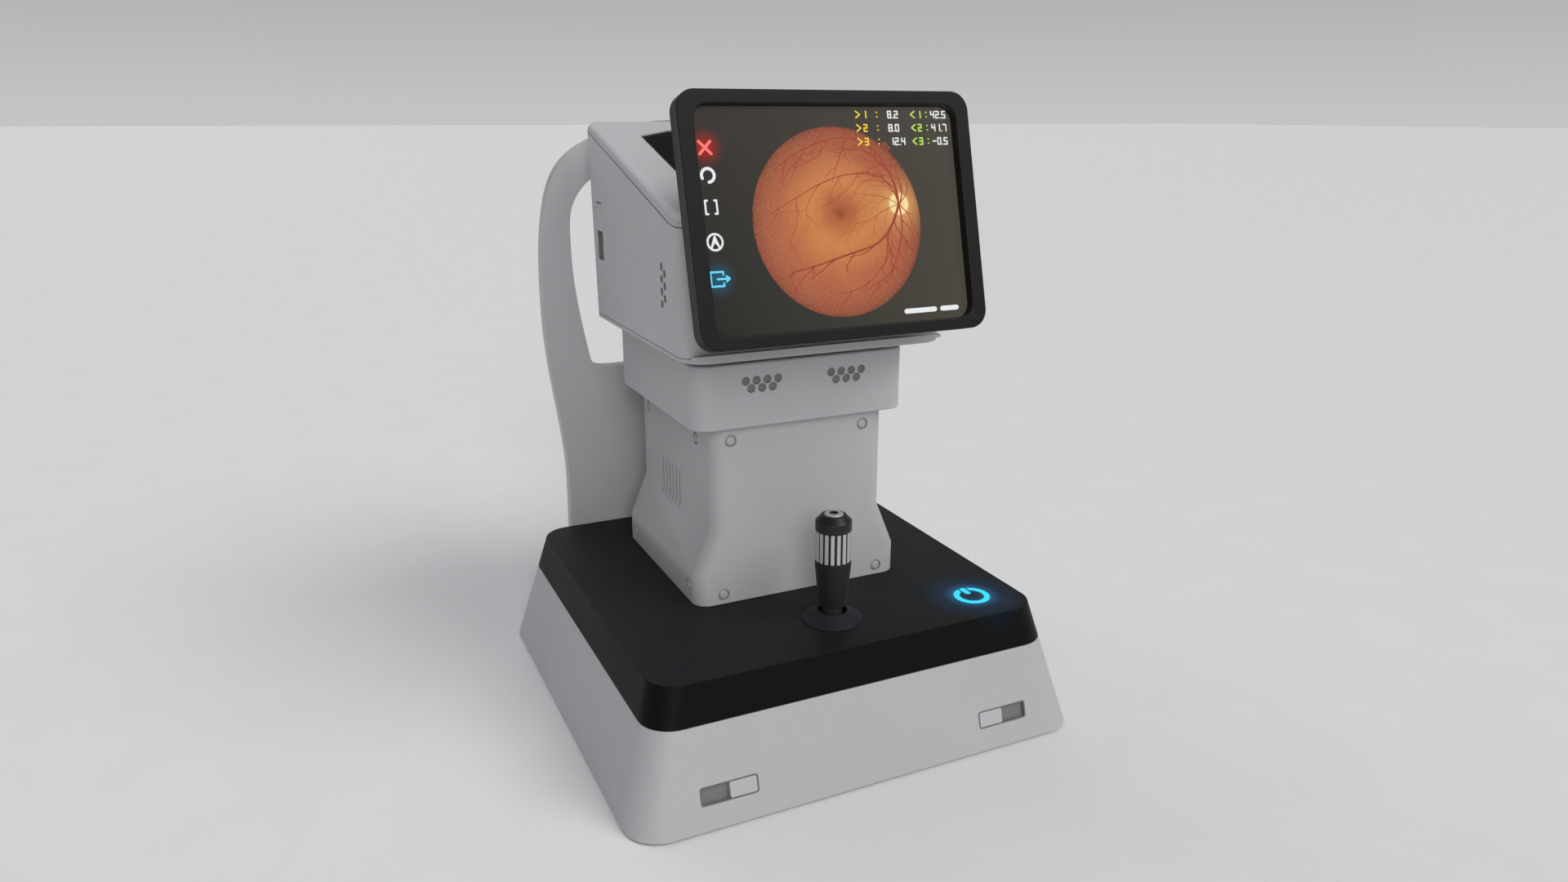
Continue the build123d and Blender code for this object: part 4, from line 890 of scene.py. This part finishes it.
# Main vessels: width, then points from the nerve head, in millimetres
arcades = (
    (1.5, ((0, 0), (-2, 14), (-12, 32), (-26, 43), (-48, 44), (-72, 36), (-92, 24))),
    (1.0, ((0, 0), (-4, 10), (-14, 19), (-34, 21), (-56, 16), (-82, 4), (-98, -4))),
    (1.9, ((0, 0), (-7, -14), (-20, -26), (-42, -32), (-66, -38), (-86, -42))),
    (1.3, ((0, 0), (1, -14), (-3, -30), (-12, -46), (-30, -56))),
    (1.1, ((1, 0), (3, 10), (-1, 24), (-8, 38))),
    (0.5, ((0, 0), (-12, 5), (-24, 7), (-34, 8))),
    (0.5, ((0, 0), (-12, -4), (-24, -10), (-36, -12))),
    (1.0, ((0, 0), (-10, -20), (-16, -40), (-34, -54), (-52, -58))),
    (1.0, ((0, 0), (-6, 22), (-22, 36), (-40, 50), (-60, 49))),
    (0.8, ((0, 0), (6, 6), (9, 14))),
    (0.8, ((0, 0), (7, -8), (9, -16))),
)
veins = bmesh.new()
for width, offsets in arcades:
    controls = [(NERVE[0] + across, NERVE[1] + above) for across, above in offsets]
    points = [p for p in smooth_line(controls, 9) if inside_eye(*p)]
    vessel(veins, points, width, width * 0.5)
    for i in range(7, len(points) - 2, 6):
        heading = math.atan2(points[i + 1][1] - points[i][1], points[i + 1][0] - points[i][0])
        side = 1 if i % 2 else -1
        branch(veins, dice, *points[i], heading + side * dice.uniform(0.4, 0.9), width * 0.55,
               dice.uniform(16, 38), 2)
inlay("retina_vessels", veins, glow("vessel_red", (0.34, 0.060, 0.036), 1.0), 0.11)

# Symbols down the left side: cross, open ring, brackets, pointer in a ring, way out
symbol("icon_cross", [[(ICON_X - 3.9, CROSS_Y - 3.9), (ICON_X + 3.9, CROSS_Y + 3.9)],
                      [(ICON_X - 3.9, CROSS_Y + 3.9), (ICON_X + 3.9, CROSS_Y - 3.9)]], 1.9, RED, 1.0)
symbol("icon_open_ring", [arc(ICON_X, RING_Y, 4.3, -85, 205)], 2.0, PALE)
symbol("icon_brackets", [[(ICON_X + side * across, BRACKET_Y + above)
                          for across, above in ((2.4, 4.2), (3.9, 4.2), (3.9, -4.2), (2.4, -4.2))]
                         for side in (-1, 1)], 1.3, PALE)
symbol("icon_pointer", [arc(ICON_X, POINTER_Y, 5.1, 0, 360, 36),
                        [(ICON_X - 2.4, POINTER_Y - 3.0), (ICON_X, POINTER_Y + 3.4),
                         (ICON_X + 2.4, POINTER_Y - 3.0)],
                        [(ICON_X - 1.2, POINTER_Y - 1.2), (ICON_X, POINTER_Y + 1.6),
                         (ICON_X + 1.2, POINTER_Y - 1.2)]], 1.4, PALE)
WAY_OUT = (((3.2, 2.7), (3.2, 4.5), (-5.4, 4.5), (-5.4, -4.5), (3.2, -4.5), (3.2, -2.7)),
           ((-1.0, 0), (7.4, 0)), ((5.2, 1.6), (7.4, 0), (5.2, -1.6)))
symbol("icon_way_out", [[(ICON_X + across, EXIT_Y + above) for across, above in line] for line in WAY_OUT],
       1.3, CYAN, 1.1)

STROKES = {
    "top": ((0, 2), (1, 2)), "middle": ((0, 1), (1, 1)), "bottom": ((0, 0), (1, 0)),
    "upper_left": ((0, 1), (0, 2)), "upper_right": ((1, 1), (1, 2)),
    "lower_left": ((0, 0), (0, 1)), "lower_right": ((1, 0), (1, 1)),
}
FIGURES = {
    "0": ("top", "bottom", "upper_left", "upper_right", "lower_left", "lower_right"),
    "1": ("upper_right", "lower_right"),
    "2": ("top", "upper_right", "middle", "lower_left", "bottom"),
    "3": ("top", "upper_right", "middle", "lower_right", "bottom"),
    "4": ("upper_left", "middle", "upper_right", "lower_right"),
    "5": ("top", "upper_left", "middle", "lower_right", "bottom"),
    "6": ("top", "upper_left", "middle", "lower_left", "lower_right", "bottom"),
    "7": ("top", "upper_right", "lower_right"),
    "8": ("top", "middle", "bottom", "upper_left", "upper_right", "lower_left", "lower_right"),
    "-": ("middle",),
}


def numeral_lines(text, x, y, tall):
    """Strokes for a number in plain seven-segment figures."""
    wide = tall * 0.55
    lines = []
    for character in text:
        if character == ".":
            lines.append([(x - tall * 0.02, y), (x + tall * 0.02, y)])
            x += tall * 0.30
            continue
        for name in FIGURES[character]:
            (ax, ay), (bx, by) = STROKES[name]
            lines.append([(x + ax * wide, y + ay * tall / 2), (x + bx * wide, y + by * tall / 2)])
        x += wide + tall * 0.36
    return lines


READOUTS = ((67.2, "8.2", "42.5"), (58.3, "8.0", "41.7"), (49.2, "12.4", "-0.5"))
COLUMNS = (("left", YELLOW, 21.8, 38.0, 46.6), ("right", GREEN, 64.6, 77.2, 81.0))
FIGURE_TALL = 4.3
ARROW_WIDE = 3.0
for row, (y, *values) in enumerate(READOUTS, 1):
    base = y - FIGURE_TALL / 2
    for (side, tint, mark_x, colon_x, value_x), value in zip(COLUMNS, values):
        tag = f"readout_{side}_{row}"
        arrow = [(mark_x, base), (mark_x + ARROW_WIDE, y), (mark_x, base + FIGURE_TALL)]
        if side == "right":
            arrow = [(2 * mark_x + ARROW_WIDE - px, py) for px, py in arrow]
        symbol(tag + "_mark", [arrow] + numeral_lines(str(row), mark_x + 5.4, base, FIGURE_TALL), 1.0, tint)
        colon = [[(colon_x, y + low), (colon_x, y + low + 0.1)] for low in (-1.5, 1.4)]
        symbol(tag + "_colon", colon, 1.1, tint)
        symbol(tag + "_value", numeral_lines(value, value_x, base, FIGURE_TALL), 0.95, PALE)
symbol("status_bars", [[(46.5, -66.0), (69.5, -66.0)], [(75.5, -66.0), (87.5, -66.0)]], 3.4, PALE)

# ------------------------------------------------------------------ camera, lights and floor
CAMERA_AT = Vector((-0.3444, -0.7637, 0.4556))
YAW = math.radians(25.485)
PITCH = math.radians(16.951)
ROLL = math.radians(0.14)
LENS_MM = 24.74
SENSOR_MM = 36.0

forward = Vector((math.sin(YAW) * math.cos(PITCH), math.cos(YAW) * math.cos(PITCH), -math.sin(PITCH)))
right = Vector((math.cos(YAW), -math.sin(YAW), 0))
turn = Matrix((right, right.cross(forward), -forward)).transposed().to_4x4()
camera_data = bpy.data.cameras.new("camera")
camera_data.lens = LENS_MM
camera_data.sensor_width = SENSOR_MM
camera_data.clip_start = 0.01
camera = bpy.data.objects.new("camera", camera_data)
camera.matrix_world = Matrix.Translation(CAMERA_AT) @ turn @ Matrix.Rotation(ROLL, 4, "Z")
bpy.context.scene.collection.objects.link(camera)
bpy.context.scene.camera = camera
bpy.context.scene.view_settings.view_transform = "Standard"


def soft_sun(name, direction, strength, spread, colour):
    """A broad studio light from far away, so the floor is lit evenly."""
    data = bpy.data.lights.new(name, "SUN")
    data.energy = strength
    data.angle = math.radians(spread)
    data.color = colour
    light = bpy.data.objects.new(name, data)
    light.matrix_world = aim((0, 0, 2), direction)
    bpy.context.scene.collection.objects.link(light)


soft_sun("key", (0.40, -0.46, 0.62), 1.45, 34, (1.0, 0.995, 0.98))
soft_sun("front", (-0.24, -0.86, 0.42), 1.05, 26, (1.0, 1.0, 1.0))
soft_sun("rim", (-0.10, 0.60, 0.80), 0.75, 60, (0.95, 0.98, 1.0))

world = bpy.data.worlds.new("studio")
world.use_nodes = True
tree = world.node_tree
sky = tree.nodes.new("ShaderNodeSeparateXYZ")
tree.links.new(tree.nodes.new("ShaderNodeTexCoord").outputs["Generated"], sky.inputs[0])
shade = ramp(tree, calc(tree, "MULTIPLY_ADD", sky.outputs[2], 0.5, 0.5),
             [(0.0, (0.50, 0.505, 0.515)), (0.50, (0.72, 0.725, 0.735)), (0.62, (0.36, 0.365, 0.375)),
              (1.0, (0.22, 0.225, 0.24))])
tree.links.new(shade, tree.nodes["Background"].inputs["Color"])
tree.nodes["Background"].inputs["Strength"].default_value = 0.76
bpy.context.scene.world = world

plane = bmesh.new()
bmesh.ops.create_grid(plane, x_segments=2, y_segments=2, size=40.0)
pale = surface("pale_floor", (0.74, 0.74, 0.745), 0.7, grain=60, bump=0.02, spread=0.012, edge=0.0, gloss=0.2)
floor = new_object("floor", plane, None, pale, smooth=False)
